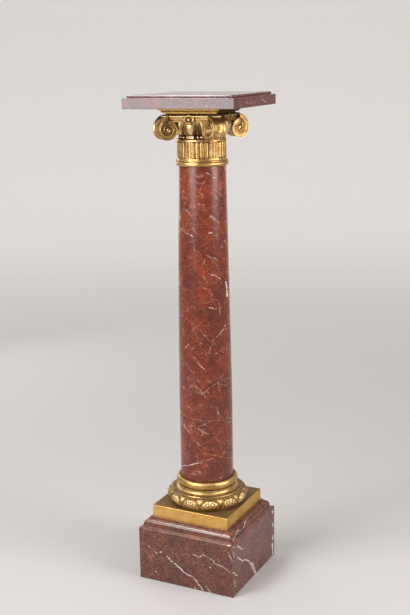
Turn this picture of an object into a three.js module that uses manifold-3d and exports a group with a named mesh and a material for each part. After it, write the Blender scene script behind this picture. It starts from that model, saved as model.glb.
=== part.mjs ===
// Marble pedestal column with gilt bronze base ring, neck collar and Ionic capital.
// Millimetres, +Z up, origin at the centre of the underside.
// Directions around the column are azimuths: 0 faces -Y, and they grow towards +X.

import * as THREE from "three";
import { mergeVertices } from "three/addons/utils/BufferGeometryUtils.js";
import Module from "manifold-3d";

const wasm = await Module();
wasm.setup();

const degree = Math.PI / 180;

// Bedding between neighbouring pieces, and the turn of the head on the shaft
const bedGap = 0.3;
const headTurn = 3.4 * degree;

// Marble plinth block, with a carved step and quarter-round under the bronze
const blockWidth = 242;
const blockFaceHeight = 126.3;
const blockArris = 1.1;
const blockLedge = 7.4;
const blockLedgeFall = 2.4;
const blockRiser = 3;
const blockRoundWidth = 11.8;
const blockRoundHeight = 14;
const blockFillet = 3.3;

// Bronze plinth, set in from the top edge of the block's quarter-round
const plinthInset = 4.95;
const plinthHeight = 27.9;
const plinthArris = 0.8;

// Bronze base ring: foot, leaf torus and fillet measured from the plinth's sides,
// scotia and upper torus measured from the shaft
const leafTorusInset = 0.2;
const leafTorusHeight = 26.8;
const leafTorusBulge = 14.5;
const leafCount = 12;
const leafRise = 1.7;
const leafVeinRise = 0.7;
const ringFootInset = 11.6;
const ringFootHeight = 1.8;
const ringFilletInset = 15.1;
const ringFilletHeight = 2.4;
const scotiaLip = 1;
const scotiaNeckOverhang = 5.6;
const scotiaHeight = 11.2;
const scotiaHollowHeight = 7;
const upperTorusOverhang = 10.5;
const upperTorusHeight = 19.1;
const upperTorusBulge = 8.6;

// Marble shaft
const shaftBottomRadius = 61.4;
const shaftTopRadius = 53.3;
const shaftHeight = 724.9;
const shaftStraightHeight = 180;
const shaftTaperPower = 1.1;

// Bronze neck collar: astragal, flare, fluted drum and bead-and-reel row, all measured
// outwards or inwards from the top of the shaft
const astragalOverhang = 5.8;
const astragalHeight = 9.8;
const astragalBulge = 4.6;
const grooveOverhang = 2.3;
const grooveHeight = 1.2;
const flareOverhang = 4.4;
const flareLipHeight = 1.2;
const flareHeight = 5.4;
const drumOverhang = 1.1;
const drumHeight = 37;
const drumEndMargin = 2.6;
const drumBandHeight = 4.4;
const fluteDepth = 2.4;
const collarBays = 6;
const collarTurn = -3.3 * degree;
const panelHalfAngle = 14.2 * degree;
const ribsPerBay = 3;
const ribShoulder = 0.28;
const panelVeinRise = 0.8;
const beadRowInset = 2.3;
const beadRowHeight = 9.6;
const beadCrownHeight = 4;
const beadSink = 4.2;
const beadPitch = 8.7 * degree;
const reelHalfAngle = 12.5 * degree;

// Bronze capital: echinus with eggs, canalis band, abacus, riser
const echinusFootInset = 2.8;
const echinusSpread = 14.5;
const echinusHeight = 28.9;
const eggCount = 12;
const eggRise = 2.4;
const eggGrooveDepth = 2.6;
const canalisHeight = 8;
const canalisMidDistance = 65.5;
const canalisCornerDistance = 88;
const canalisCornerHalfWidth = 9;
const abacusHeight = 6.6;
const abacusMidDistance = 68;
const abacusCornerDistance = 90;
const abacusCornerHalfWidth = 9.5;
const riserInset = 8.5;
const riserHeight = 6;
const joinOverlap = 0.5;

// Corner volutes: one spiral on each of the two splayed faces
const voluteEyeOut = 84.5;
const voluteEyeSide = 18.2;
const voluteEyeBelowAbacus = 25;
const voluteSplay = 15 * degree;
const edgeStartRadius = 24.3;
const edgeShrinkPerTurn = 4.5;
const edgeSwoop = 6.6;
const ridgeStartRadius = 17.2;
const ridgeShrinkPerTurn = 6;
const ridgeSwoop = 4.8;
const swoopAngle = 42 * degree;
const voluteEyeRadius = 4.6;
const voluteEyeRise = 1.8;
const ridgeRise = 1.6;
const voluteHollow = 1.4;
const rimHollow = 3;
const rimFillet = 3.4;

// Flower at the middle of each side of the capital
const flowerWidth = 23;
const flowerHeight = 18;
const flowerPetals = 6;
const petalNotch = 0.3;
const petalDome = 0.75;
const flowerDepth = 5;
const flowerBaseDistance = 64;
const flowerAboveCanalisFoot = 6;

// Bronze plate on the capital, and the marble slab
const plateWidth = 143;
const plateHeight = 5.1;
const plateStep = 5;
const plateStepHeight = 3.7;
const slabWidth = 255.6;
const slabHeight = 22.3;
const slabStep = 7.4;
const slabStepHeight = 5.7;
const slabArris = 0.8;

// How finely the round pieces are faceted
const shaftFacets = 48;
const taperSteps = 3;
const curveSteps = 4;
const stepsPerLeaf = 6;
const stepsPerEgg = 6;
const volutePoints = 16;
const stepsPerPetal = 4;

const marble = new THREE.MeshStandardMaterial({ color: 0x8a4a40, roughness: 0.18, metalness: 0 });
const gilding = new THREE.MeshStandardMaterial({ color: 0xc79a4a, roughness: 0.32, metalness: 1 });

// Points of an arc from one place to another, as [radius, z] pairs; the ends can be left off
function arc(centreR, centreZ, sizeR, sizeZ, fromAngle, toAngle, steps) {
  const points = [];
  for (let i = 0; i <= steps; i += 1) {
    const angle = fromAngle + (toAngle - fromAngle) * i / steps;
    points.push([centreR + sizeR * Math.cos(angle), centreZ + sizeZ * Math.sin(angle)]);
  }
  return points;
}

// Half of a torus section that bulges outwards from its crest radius
function torusSection(crestRadius, bulge, bottomZ, height, steps) {
  const half = height / 2;
  return arc(crestRadius - bulge, bottomZ + half, bulge, half, -Math.PI / 2, Math.PI / 2, steps);
}

// Solid of square plan from a profile of [half width, z] pairs that starts and ends on the axis
function squareSolid(profile) {
  const points = profile.map(([half, z]) => new THREE.Vector2(half * Math.SQRT2, z));
  const geometry = new THREE.LatheGeometry(points, 4, Math.PI / 4);
  geometry.rotateX(Math.PI / 2);
  return weld(geometry);
}

// Solid of revolution about +Z
function roundSolid(profile, facets) {
  const points = profile.map(([radius, z]) => new THREE.Vector2(radius, z));
  const geometry = new THREE.LatheGeometry(points, facets);
  geometry.rotateX(Math.PI / 2);
  return weld(geometry);
}

// Keeps only positions, so that shared corners become one vertex
function weld(geometry) {
  geometry.deleteAttribute("normal");
  geometry.deleteAttribute("uv");
  return mergeVertices(geometry, 1e-4);
}

// Closed skin over lines of points that all run from one pole to the other, side by side
function skinBetweenPoles(startPole, lines, endPole) {
  const perLine = lines[0].length;
  const triangles = [];
  for (let i = 0; i < lines.length; i += 1) {
    const here = 2 + i * perLine;
    const there = 2 + ((i + 1) % lines.length) * perLine;
    triangles.push(0, there, here);
    triangles.push(1, here + perLine - 1, there + perLine - 1);
    for (let j = 0; j + 1 < perLine; j += 1) {
      triangles.push(here + j, there + j, there + j + 1);
      triangles.push(here + j, there + j + 1, here + j + 1);
    }
  }
  const positions = [startPole, endPole, ...lines.flat()].flat();
  const geometry = new THREE.BufferGeometry();
  geometry.setAttribute("position", new THREE.Float32BufferAttribute(positions, 3));
  geometry.setIndex(triangles);
  return geometry;
}

// Solid turned about +Z whose surface stands out or in by relief(azimuth, row)
function carvedRound(rows, azimuths, relief) {
  const lines = azimuths.map((azimuth) => rows.map((row) => {
    const radius = row.radius + relief(azimuth, row);
    return [radius * Math.sin(azimuth), -radius * Math.cos(azimuth), row.z];
  }));
  return skinBetweenPoles([0, 0, rows[0].z], lines, [0, 0, rows[rows.length - 1].z]);
}

function evenAzimuths(count, turn) {
  return Array.from({ length: count }, (unused, i) => turn + i * 2 * Math.PI / count);
}

// Rows of a carved round from [radius, z] pairs, all carved in one named way
function rowsOf(points, carving) {
  return points.map(([radius, z]) => ({ radius, z, carving }));
}

// Distance from the nearest repeat, in shares of half a pitch: 0 on it, 1 midway between two
function shareFromNearest(angle, pitch) {
  const offset = angle / pitch - Math.round(angle / pitch);
  return Math.abs(offset) * 2;
}

function solidOf(geometry) {
  const vertProperties = geometry.getAttribute("position").array;
  const triVerts = new Uint32Array(geometry.getIndex().array);
  const mesh = new wasm.Mesh({ numProp: 3, vertProperties, triVerts });
  return new wasm.Manifold(mesh);
}

function join(geometries) {
  const solids = geometries.map(solidOf);
  const joined = solids.reduce((whole, piece) => whole.add(piece)).getMesh();
  const geometry = new THREE.BufferGeometry();
  geometry.setAttribute("position", new THREE.BufferAttribute(joined.vertProperties, 3));
  geometry.setIndex(new THREE.BufferAttribute(joined.triVerts, 1));
  return geometry;
}

// Half widths of the block's moulding, and of the bronze plinth that stands inside it
const roundFootHalf = blockWidth / 2 - blockArris - blockLedge;
const blockTopHalf = roundFootHalf - blockRoundWidth;
const plinthHalf = blockTopHalf - plinthInset;

function makeBlock(bottomZ) {
  const half = blockWidth / 2;
  const faceTop = bottomZ + blockFaceHeight;
  const ledgeZ = faceTop + blockArris + blockLedgeFall;
  const roundZ = ledgeZ + blockRiser;
  const roundTop = roundZ + blockRoundHeight;
  const topZ = roundTop + blockFillet;
  const quarterRound = arc(blockTopHalf, roundZ, blockRoundWidth, blockRoundHeight,
    0, Math.PI / 2, curveSteps);
  const profile = [
    [0, bottomZ], [half, bottomZ], [half, faceTop], [half - blockArris, faceTop + blockArris],
    [roundFootHalf, ledgeZ], ...quarterRound, [blockTopHalf, topZ], [0, topZ],
  ];
  return { geometry: squareSolid(profile), topZ };
}

function makeBronzePlinth(bottomZ) {
  const topZ = bottomZ + plinthHeight;
  const profile = [
    [0, bottomZ], [plinthHalf, bottomZ], [plinthHalf, topZ - plinthArris],
    [plinthHalf - plinthArris, topZ], [0, topZ],
  ];
  return { geometry: squareSolid(profile), topZ };
}

// Leaf seen flat: across is -1 to 1 over one leaf's share, along is 0 at its foot, 1 at its tip
function leafRelief(across, along) {
  const halfWidth = Math.sqrt(Math.max(0, 1 - along * along));
  if (along < 0 || along >= 1 || Math.abs(across) > halfWidth) {
    return 0;
  }
  const vein = 1 - Math.abs(across) / halfWidth;
  return leafRise + leafVeinRise * vein;
}

function makeBaseRing(bottomZ) {
  const torusZ = bottomZ + ringFootHeight;
  const filletZ = torusZ + leafTorusHeight;
  const scotiaZ = filletZ + ringFilletHeight;
  const upperZ = scotiaZ + scotiaHeight;
  const topZ = upperZ + upperTorusHeight;
  const crest = plinthHalf - leafTorusInset - leafRise - leafVeinRise;
  const torus = torusSection(crest, leafTorusBulge, torusZ, leafTorusHeight, curveSteps + 1);
  const torusRows = rowsOf(torus, "leaf");
  torusRows.forEach((row, i) => {
    row.along = i / (torusRows.length - 1);
  });
  const footRadius = plinthHalf - ringFootInset;
  const filletRadius = plinthHalf - ringFilletInset;
  const neckRadius = shaftBottomRadius + scotiaNeckOverhang;
  const lipRadius = filletRadius - scotiaLip;
  const hollow = arc(lipRadius, scotiaZ + scotiaHollowHeight, lipRadius - neckRadius,
    scotiaHollowHeight, -Math.PI / 2, -Math.PI, curveSteps / 2);
  const upperRadius = shaftBottomRadius + upperTorusOverhang;
  const rows = [
    ...rowsOf([[footRadius, bottomZ], [footRadius, torusZ]], "plain"),
    ...torusRows,
    ...rowsOf([[filletRadius, filletZ], [filletRadius, scotiaZ]], "plain"),
    ...rowsOf([...hollow, [neckRadius, upperZ]], "plain"),
    ...rowsOf(torusSection(upperRadius, upperTorusBulge, upperZ, upperTorusHeight, curveSteps),
      "plain"),
  ];
  const pitch = 2 * Math.PI / leafCount;
  const relief = (azimuth, row) => {
    if (row.carving !== "leaf") {
      return 0;
    }
    return leafRelief(shareFromNearest(azimuth, pitch), row.along);
  };
  const azimuths = evenAzimuths(leafCount * stepsPerLeaf, 0);
  return { geometry: carvedRound(rows, azimuths, relief), topZ };
}

function shaftRadius(height) {
  const along = Math.max(0, height - shaftStraightHeight) / (shaftHeight - shaftStraightHeight);
  const taper = Math.pow(along, shaftTaperPower);
  return shaftBottomRadius + (shaftTopRadius - shaftBottomRadius) * taper;
}

function makeShaft(bottomZ) {
  const profile = [[0, bottomZ], [shaftBottomRadius, bottomZ]];
  const tapering = shaftHeight - shaftStraightHeight;
  for (let i = 0; i <= taperSteps; i += 1) {
    const height = shaftStraightHeight + tapering * i / taperSteps;
    profile.push([shaftRadius(height), bottomZ + height]);
  }
  const topZ = bottomZ + shaftHeight;
  profile.push([0, topZ]);
  return { geometry: roundSolid(profile, shaftFacets), topZ };
}

// Azimuths of one collar bay: the leaf panel's veins and edges, then each rib's groove and crest
function collarAzimuths() {
  const bay = 2 * Math.PI / collarBays;
  const ribPitch = (bay - 2 * panelHalfAngle) / ribsPerBay;
  const stops = [-1, -0.5, 0, 0.5].map((share) => share * panelHalfAngle);
  for (let rib = 0; rib < ribsPerBay; rib += 1) {
    const start = panelHalfAngle + rib * ribPitch;
    stops.push(start, start + ribShoulder * ribPitch, start + (1 - ribShoulder) * ribPitch);
  }
  const azimuths = [];
  for (let i = 0; i < collarBays; i += 1) {
    azimuths.push(...stops.map((stop) => collarTurn + i * bay + stop));
  }
  return azimuths;
}

// Angle from the middle of the nearest leaf panel
function angleInBay(azimuth) {
  const bay = 2 * Math.PI / collarBays;
  const turns = (azimuth - collarTurn) / bay;
  return Math.abs(turns - Math.round(turns)) * bay;
}

function drumRelief(azimuth) {
  const angle = angleInBay(azimuth);
  const bay = 2 * Math.PI / collarBays;
  const ribPitch = (bay - 2 * panelHalfAngle) / ribsPerBay;
  if (angle < panelHalfAngle - 1e-6) {
    const fromVein = Math.abs(angle) / panelHalfAngle;
    return panelVeinRise * Math.cos(fromVein * 2 * Math.PI) - panelVeinRise;
  }
  const share = (angle - panelHalfAngle) / ribPitch;
  const fromGroove = Math.abs(share - Math.round(share));
  return -fluteDepth * (1 - Math.min(1, fromGroove / ribShoulder));
}

function beadRelief(azimuth) {
  const angle = angleInBay(azimuth);
  if (angle < reelHalfAngle) {
    return 0;
  }
  const bay = 2 * Math.PI / collarBays;
  const share = shareFromNearest(bay / 2 - angle, beadPitch);
  return -beadSink * share * share;
}

function makeCollar(bottomZ) {
  const grooveZ = bottomZ + astragalHeight;
  const flareZ = grooveZ + grooveHeight;
  const drumZ = flareZ + flareHeight;
  const bandZ = drumZ + drumHeight;
  const beadZ = bandZ + drumBandHeight;
  const topZ = beadZ + beadRowHeight;
  const grooveRadius = shaftTopRadius + grooveOverhang;
  const flareRadius = shaftTopRadius + flareOverhang;
  const drumRadius = shaftTopRadius + drumOverhang;
  const beadRadius = shaftTopRadius - beadRowInset;
  const beadCore = beadRadius - beadSink;
  const crownZ = beadZ + (beadRowHeight - beadCrownHeight) / 2;
  const astragal = torusSection(shaftTopRadius + astragalOverhang, astragalBulge, bottomZ,
    astragalHeight, curveSteps);
  const rows = [
    ...rowsOf(astragal, "plain"),
    ...rowsOf([[grooveRadius, grooveZ], [grooveRadius, flareZ]], "plain"),
    ...rowsOf([[flareRadius, flareZ], [flareRadius, flareZ + flareLipHeight]], "plain"),
    ...rowsOf([[drumRadius, drumZ]], "plain"),
    ...rowsOf([[drumRadius, drumZ + drumEndMargin], [drumRadius, bandZ - drumEndMargin]], "drum"),
    ...rowsOf([[drumRadius, bandZ], [drumRadius, beadZ], [beadCore, beadZ]], "plain"),
    ...rowsOf([[beadRadius, crownZ], [beadRadius, crownZ + beadCrownHeight]], "bead"),
    ...rowsOf([[beadCore, topZ]], "plain"),
  ];
  const relief = (azimuth, row) => {
    if (row.carving === "drum") {
      return drumRelief(azimuth);
    }
    return row.carving === "bead" ? beadRelief(azimuth) : 0;
  };
  return { geometry: carvedRound(rows, collarAzimuths(), relief), topZ };
}

// Egg, groove and dart: shares of half an egg's pitch from the egg's middle
function eggRelief(share) {
  if (share < 0.5) {
    return eggRise * Math.cos(share * Math.PI);
  }
  return -eggGrooveDepth * Math.sin((share - 0.5) * 2 * Math.PI);
}

function makeEchinus(bottomZ) {
  const footRadius = shaftTopRadius - echinusFootInset;
  const section = arc(footRadius, bottomZ + echinusHeight, echinusSpread, echinusHeight,
    -Math.PI / 2, 0, curveSteps + 2);
  const rows = rowsOf(section, "egg");
  rows.forEach((row, i) => {
    row.swell = Math.sin(Math.PI * i / (rows.length - 1));
  });
  const pitch = 2 * Math.PI / eggCount;
  const relief = (azimuth, row) => eggRelief(shareFromNearest(azimuth, pitch)) * row.swell;
  return carvedRound(rows, evenAzimuths(eggCount * stepsPerEgg, 0), relief);
}

// Four-sided plan with hollowed sides and cut corners
function hollowedPlan(midDistance, cornerDistance, cornerHalfWidth) {
  const cornerAcross = (cornerDistance - cornerHalfWidth) / Math.SQRT2;
  const cornerOut = (cornerDistance + cornerHalfWidth) / Math.SQRT2;
  const points = [];
  const steps = 2 * curveSteps;
  for (let side = 0; side < 4; side += 1) {
    const turn = side * Math.PI / 2;
    for (let i = 0; i <= steps; i += 1) {
      const share = 2 * i / steps - 1;
      const out = midDistance + (cornerOut - midDistance) * share * share;
      const point = new THREE.Vector2(cornerAcross * share, -out);
      points.push(point.rotateAround(new THREE.Vector2(0, 0), turn));
    }
  }
  return new THREE.Shape(points);
}

function plateOf(shape, bottomZ, height) {
  const geometry = new THREE.ExtrudeGeometry(shape, { depth: height, bevelEnabled: false });
  geometry.translate(0, 0, bottomZ);
  return weld(geometry);
}

// Spiral that sweeps in quickly from its top and then shrinks steadily with the angle turned
function spiralRadius(startRadius, shrinkPerTurn, swoop, angle) {
  return startRadius - shrinkPerTurn * angle / (2 * Math.PI) + swoop * Math.exp(-angle / swoopAngle);
}

function edgeRadius(angle) {
  return spiralRadius(edgeStartRadius, edgeShrinkPerTurn, edgeSwoop, angle);
}

function ridgeRadius(angle) {
  return spiralRadius(ridgeStartRadius, ridgeShrinkPerTurn, ridgeSwoop, angle);
}

// Point on a volute face of a corner along +X; side is 1 or -1, rise is out of the face
function volutePoint(side, angle, radius, rise) {
  const out = radius * Math.sin(angle);
  const x = voluteEyeOut + out * Math.cos(voluteSplay) + rise * Math.sin(voluteSplay);
  const y = voluteEyeSide - out * Math.sin(voluteSplay) + rise * Math.cos(voluteSplay);
  return [x, side * y, radius * Math.cos(angle)];
}

// From the eye to the edge of one volute face
function voluteFaceLine(side, angle) {
  const ridge = ridgeRadius(angle);
  return [
    volutePoint(side, angle, voluteEyeRadius, voluteEyeRise / 2),
    volutePoint(side, angle, (voluteEyeRadius + ridge) / 2, -voluteHollow),
    volutePoint(side, angle, ridge, ridgeRise),
    volutePoint(side, angle, edgeRadius(angle), 0),
  ];
}

// Corner volute along +X with its eyes at height 0: two mirrored faces and a hollowed rim
function makeVolute() {
  const lines = [];
  for (let i = 0; i < volutePoints; i += 1) {
    const angle = -2 * Math.PI * i / volutePoints;
    const turned = angle < 0 ? angle + 2 * Math.PI : 0;
    const hollowed = volutePoint(1, turned, edgeRadius(turned) - rimHollow, 0);
    const rimSide = hollowed[1] * (1 - rimFillet / voluteEyeSide);
    lines.push([
      ...voluteFaceLine(1, turned),
      [hollowed[0], rimSide, hollowed[2]],
      [hollowed[0], -rimSide, hollowed[2]],
      ...voluteFaceLine(-1, turned).reverse(),
    ]);
  }
  return skinBetweenPoles(
    volutePoint(1, 0, 0, voluteEyeRise), lines, volutePoint(-1, 0, 0, voluteEyeRise));
}

// Flower facing +X with its middle at height 0: a domed disc whose edge runs in petals
function makeFlower() {
  const count = flowerPetals * stepsPerPetal;
  const front = flowerBaseDistance + flowerDepth;
  const lines = [];
  for (let i = 0; i < count; i += 1) {
    const angle = 2 * Math.PI * i / count;
    const reach = 1 - petalNotch * (1 - Math.sqrt(Math.abs(Math.cos(flowerPetals * angle / 2))));
    const y = Math.sin(angle) * flowerWidth / 2 * reach;
    const z = Math.cos(angle) * flowerHeight / 2 * reach;
    lines.push([
      [front, y * petalDome, z * petalDome],
      [front - flowerDepth / 2, y, z],
      [flowerBaseDistance, y, z],
    ]);
  }
  return skinBetweenPoles([front, 0, 0], lines, [flowerBaseDistance, 0, 0]);
}

function makeCapital(bottomZ) {
  const canalisZ = bottomZ + echinusHeight;
  const abacusZ = canalisZ + canalisHeight;
  const riserZ = abacusZ + abacusHeight;
  const topZ = riserZ + riserHeight;
  const canalis = hollowedPlan(canalisMidDistance, canalisCornerDistance, canalisCornerHalfWidth);
  const abacus = hollowedPlan(abacusMidDistance, abacusCornerDistance, abacusCornerHalfWidth);
  const riserHalf = plateWidth / 2 - plateStep - riserInset;
  const riserFoot = riserZ - joinOverlap;
  const riser = squareSolid([
    [0, riserFoot], [riserHalf, riserFoot], [riserHalf, topZ], [0, topZ],
  ]);
  const pieces = [
    makeEchinus(bottomZ),
    plateOf(canalis, canalisZ - joinOverlap, canalisHeight + 2 * joinOverlap),
    plateOf(abacus, abacusZ, abacusHeight),
    riser,
  ];
  for (let side = 0; side < 4; side += 1) {
    const turn = side * Math.PI / 2;
    const eyeZ = abacusZ - voluteEyeBelowAbacus;
    pieces.push(makeVolute().rotateZ(turn + Math.PI / 4).translate(0, 0, eyeZ));
    pieces.push(makeFlower().rotateZ(turn).translate(0, 0, canalisZ + flowerAboveCanalisFoot));
  }
  return { geometry: join(pieces), topZ };
}

function makePlate(bottomZ) {
  const half = plateWidth / 2;
  const lowerHalf = half - plateStep;
  const stepZ = bottomZ + plateStepHeight;
  const topZ = stepZ + plateHeight;
  const profile = [
    [0, bottomZ], [lowerHalf, bottomZ], [lowerHalf, stepZ], [half, stepZ], [half, topZ], [0, topZ],
  ];
  return { geometry: squareSolid(profile), topZ };
}

function makeSlab(bottomZ) {
  const half = slabWidth / 2;
  const stepZ = bottomZ + slabHeight;
  const topZ = stepZ + slabStepHeight;
  const inner = half - slabStep;
  const profile = [
    [0, bottomZ], [half - slabArris, bottomZ], [half, bottomZ + slabArris],
    [half, stepZ - slabArris], [half - slabArris, stepZ], [inner, stepZ],
    [inner, topZ - slabArris], [inner - slabArris, topZ], [0, topZ],
  ];
  return { geometry: squareSolid(profile), topZ };
}

function named(name, geometry, material) {
  const mesh = new THREE.Mesh(geometry, material.clone());
  mesh.name = name;
  return mesh;
}

const block = makeBlock(0);
const plinth = makeBronzePlinth(block.topZ + bedGap);
const ring = makeBaseRing(plinth.topZ + bedGap);
const shaft = makeShaft(ring.topZ + bedGap);
const collar = makeCollar(shaft.topZ + bedGap);
const capital = makeCapital(collar.topZ + bedGap);
const plate = makePlate(capital.topZ + bedGap);
const slab = makeSlab(plate.topZ + bedGap);

const column = new THREE.Group();
column.add(
  named("marble_plinth_block", block.geometry, marble),
  named("bronze_plinth", plinth.geometry, gilding),
  named("bronze_base_ring", ring.geometry, gilding),
  named("marble_shaft", shaft.geometry, marble),
  named("bronze_neck_collar", collar.geometry, gilding),
);

const head = new THREE.Group();
head.rotation.z = headTurn;
head.add(
  named("bronze_capital", capital.geometry, gilding),
  named("bronze_capital_plate", plate.geometry, gilding),
  named("marble_top_slab", slab.geometry, marble),
);
column.add(head);

export default column;
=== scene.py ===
"""Looks of a marble pedestal column with gilt bronze mounts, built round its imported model.

Sizes are in millimetres, as in the part, and become metres when a mesh is made. +Z is up and
the origin is the centre of the underside. Azimuth 0 faces -Y and azimuths grow towards +X.
"""

import math

import bpy
import numpy as np
from mathutils import Matrix, Vector


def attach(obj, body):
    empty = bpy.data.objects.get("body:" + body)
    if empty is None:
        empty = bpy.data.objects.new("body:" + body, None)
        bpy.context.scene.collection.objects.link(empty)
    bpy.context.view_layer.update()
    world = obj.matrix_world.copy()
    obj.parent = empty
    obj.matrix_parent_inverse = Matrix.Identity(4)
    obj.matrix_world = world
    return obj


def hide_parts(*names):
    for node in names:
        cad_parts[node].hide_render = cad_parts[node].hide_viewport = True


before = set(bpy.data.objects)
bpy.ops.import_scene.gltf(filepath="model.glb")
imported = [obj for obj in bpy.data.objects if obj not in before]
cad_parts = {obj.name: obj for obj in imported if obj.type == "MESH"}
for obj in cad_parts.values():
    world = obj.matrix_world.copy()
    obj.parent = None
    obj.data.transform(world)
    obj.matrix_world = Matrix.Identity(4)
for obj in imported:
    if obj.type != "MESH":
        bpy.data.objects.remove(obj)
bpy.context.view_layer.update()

MM = 0.001
HEAD_TURN = math.radians(3.4)
FULL_TURN = 2 * math.pi

# Camera, at the photograph's viewing angle
CAMERA_AZIMUTH = math.radians(26.657)
CAMERA_ELEVATION = math.radians(13.333)
CAMERA_ROLL = math.radians(-0.974)
CAMERA_LENS = 61.34
CAMERA_SENSOR_WIDTH = 36
CAMERA_SIGHT = 30
CAMERA_DISTANCE = 2390.4
CAMERA_AIM_HEIGHT = 640.9
CAMERA_AIM_RIGHT = 1.38


# Sizes; the main ones are the part's own, and fine relief is added to them here

BED_GAP = 0.3
BLOCK_HALF = 121.0
BLOCK_FACE_HEIGHT = 126.3
BLOCK_ARRIS = 1.1
BLOCK_LEDGE = 7.4
BLOCK_LEDGE_FALL = 2.4
BLOCK_RISER = 3.0
BLOCK_ROUND_WIDTH = 11.8
BLOCK_ROUND_HEIGHT = 14.0
BLOCK_FILLET = 3.3
PLINTH_INSET = 4.95
PLINTH_HEIGHT = 27.9

LEAF_TORUS_INSET = 0.2
LEAF_TORUS_HEIGHT = 26.8
LEAF_TORUS_BULGE = 14.5
LEAF_COUNT = 12
LEAF_RISE = 1.7
LEAF_VEIN_RISE = 0.7
RING_FOOT_INSET = 11.6
RING_FOOT_HEIGHT = 1.8
RING_FILLET_INSET = 15.1
RING_FILLET_HEIGHT = 2.4
SCOTIA_LIP = 1.0
SCOTIA_NECK_OVERHANG = 5.6
SCOTIA_HEIGHT = 11.2
SCOTIA_HOLLOW_HEIGHT = 7.0
UPPER_TORUS_OVERHANG = 10.5
UPPER_TORUS_HEIGHT = 19.1
UPPER_TORUS_BULGE = 8.6
RING_BORE = 50.0
RING_CHAMFER = 0.6
NECK_FILLET = 1.2
LEAF_TORUS_WALL = 12.0

SHAFT_FOOT_RADIUS = 61.4
SHAFT_TOP_RADIUS = 53.3
SHAFT_HEIGHT = 724.9
SHAFT_STRAIGHT_HEIGHT = 180.0
SHAFT_TAPER_POWER = 1.1

ASTRAGAL_OVERHANG = 5.8
ASTRAGAL_HEIGHT = 9.8
ASTRAGAL_BULGE = 4.6
GROOVE_OVERHANG = 2.3
GROOVE_HEIGHT = 1.2
FLARE_OVERHANG = 4.4
FLARE_LIP_HEIGHT = 1.2
FLARE_HEIGHT = 5.4
DRUM_OVERHANG = 1.1
DRUM_HEIGHT = 37.0
DRUM_BAND_HEIGHT = 4.4
DRUM_BAND_OUT = 0.9
DRUM_WALL = 8.0
FLUTE_DEPTH = 2.4
COLLAR_BAYS = 6
COLLAR_TURN = math.radians(-3.3)
PANEL_HALF_ANGLE = math.radians(14.2)
PANEL_SCALLOPS = 8
RIBS_PER_BAY = 3
RIB_END_GAP = 0.8
CASTING_BORE = 40.0
BEAD_ROW_INSET = 2.3
BEAD_ROW_HEIGHT = 9.6
BEAD_SINK = 4.2
BEAD_PITCH = math.radians(8.7)
REEL_HALF_ANGLE = math.radians(12.5)

ECHINUS_FOOT_INSET = 2.8
ECHINUS_SPREAD = 14.5
ECHINUS_HEIGHT = 28.9
EGG_COUNT = 12
EGG_RISE = 2.4
EGG_GROOVE_DEPTH = 2.6
CANALIS_HEIGHT = 8.0
CANALIS_PLAN = (65.5, 88.0, 9.0)
ABACUS_HEIGHT = 6.6
ABACUS_PLAN = (68.0, 90.0, 9.5)
PLAN_STEPS = 24
RISER_INSET = 8.5
RISER_HEIGHT = 6.0
RISER_FILLET = 2.6
RISER_FILLET_STEP = 6.0

VOLUTE_EYE_OUT = 84.5
VOLUTE_EYE_SIDE = 18.2
VOLUTE_EYE_BELOW_ABACUS = 25.0
VOLUTE_SPLAY = math.radians(15)
SWOOP_ANGLE = math.radians(42)
VOLUTE_EDGE = (24.3, 4.5, 6.6)
VOLUTE_RIDGE = (17.2, 7.6, 4.8)
VOLUTE_EYE_RADIUS = 3.4
VOLUTE_EYE_RISE = 1.8
RIDGE_RISE = 2.1
VOLUTE_HOLLOW = 3.0
VOLUTE_BAND_SHARE = 0.45
VOLUTE_LIP_RISE = 0.9
RIM_HOLLOW = 3.0

FLOWER_WIDTH = 30.0
FLOWER_HEIGHT = 23.5
FLOWER_PETALS = 4
PETAL_CLEFT = 3.0
PETAL_CUP = 1.3
FLOWER_DEPTH = 5.0
FLOWER_BASE_DISTANCE = 64.0
FLOWER_ABOVE_CANALIS_FOOT = 5.0

PLATE_HALF = 71.5
PLATE_HEIGHT = 5.1
PLATE_STEP = 5.0
PLATE_STEP_HEIGHT = 3.7
SLAB_HALF = 127.8
SLAB_HEIGHT = 22.3
SLAB_STEP = 7.4
SLAB_STEP_HEIGHT = 5.7

# Rounding of the edges, and how near an edge its neighbouring rows lie
EDGE_CLOSENESS = 0.4
CORNER_RADIUS = 0.8
CORNER_STEPS = 4
EASE = 0.9
PLATE_EASE = 0.6
BEVEL_LEAN = math.radians(26)
SLAB_EDGE_BEVEL = 1.3
SLAB_BEVEL_HEIGHT = 2.9
SLAB_UNDERCUT = 1.0
BLOCK_EASE = 1.8
BLOCK_EASE_END = 72

# Angles in degrees past which a flat, turned, carved or plain round piece shows a crease
FLAT_CREASE = 15
TURNED_CREASE = 32
CARVED_CREASE = 60
ROUND_CREASE = 40

# Distances within which copies of a bay are joined
WELD = 0.01
FINE_WELD = 0.001

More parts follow.
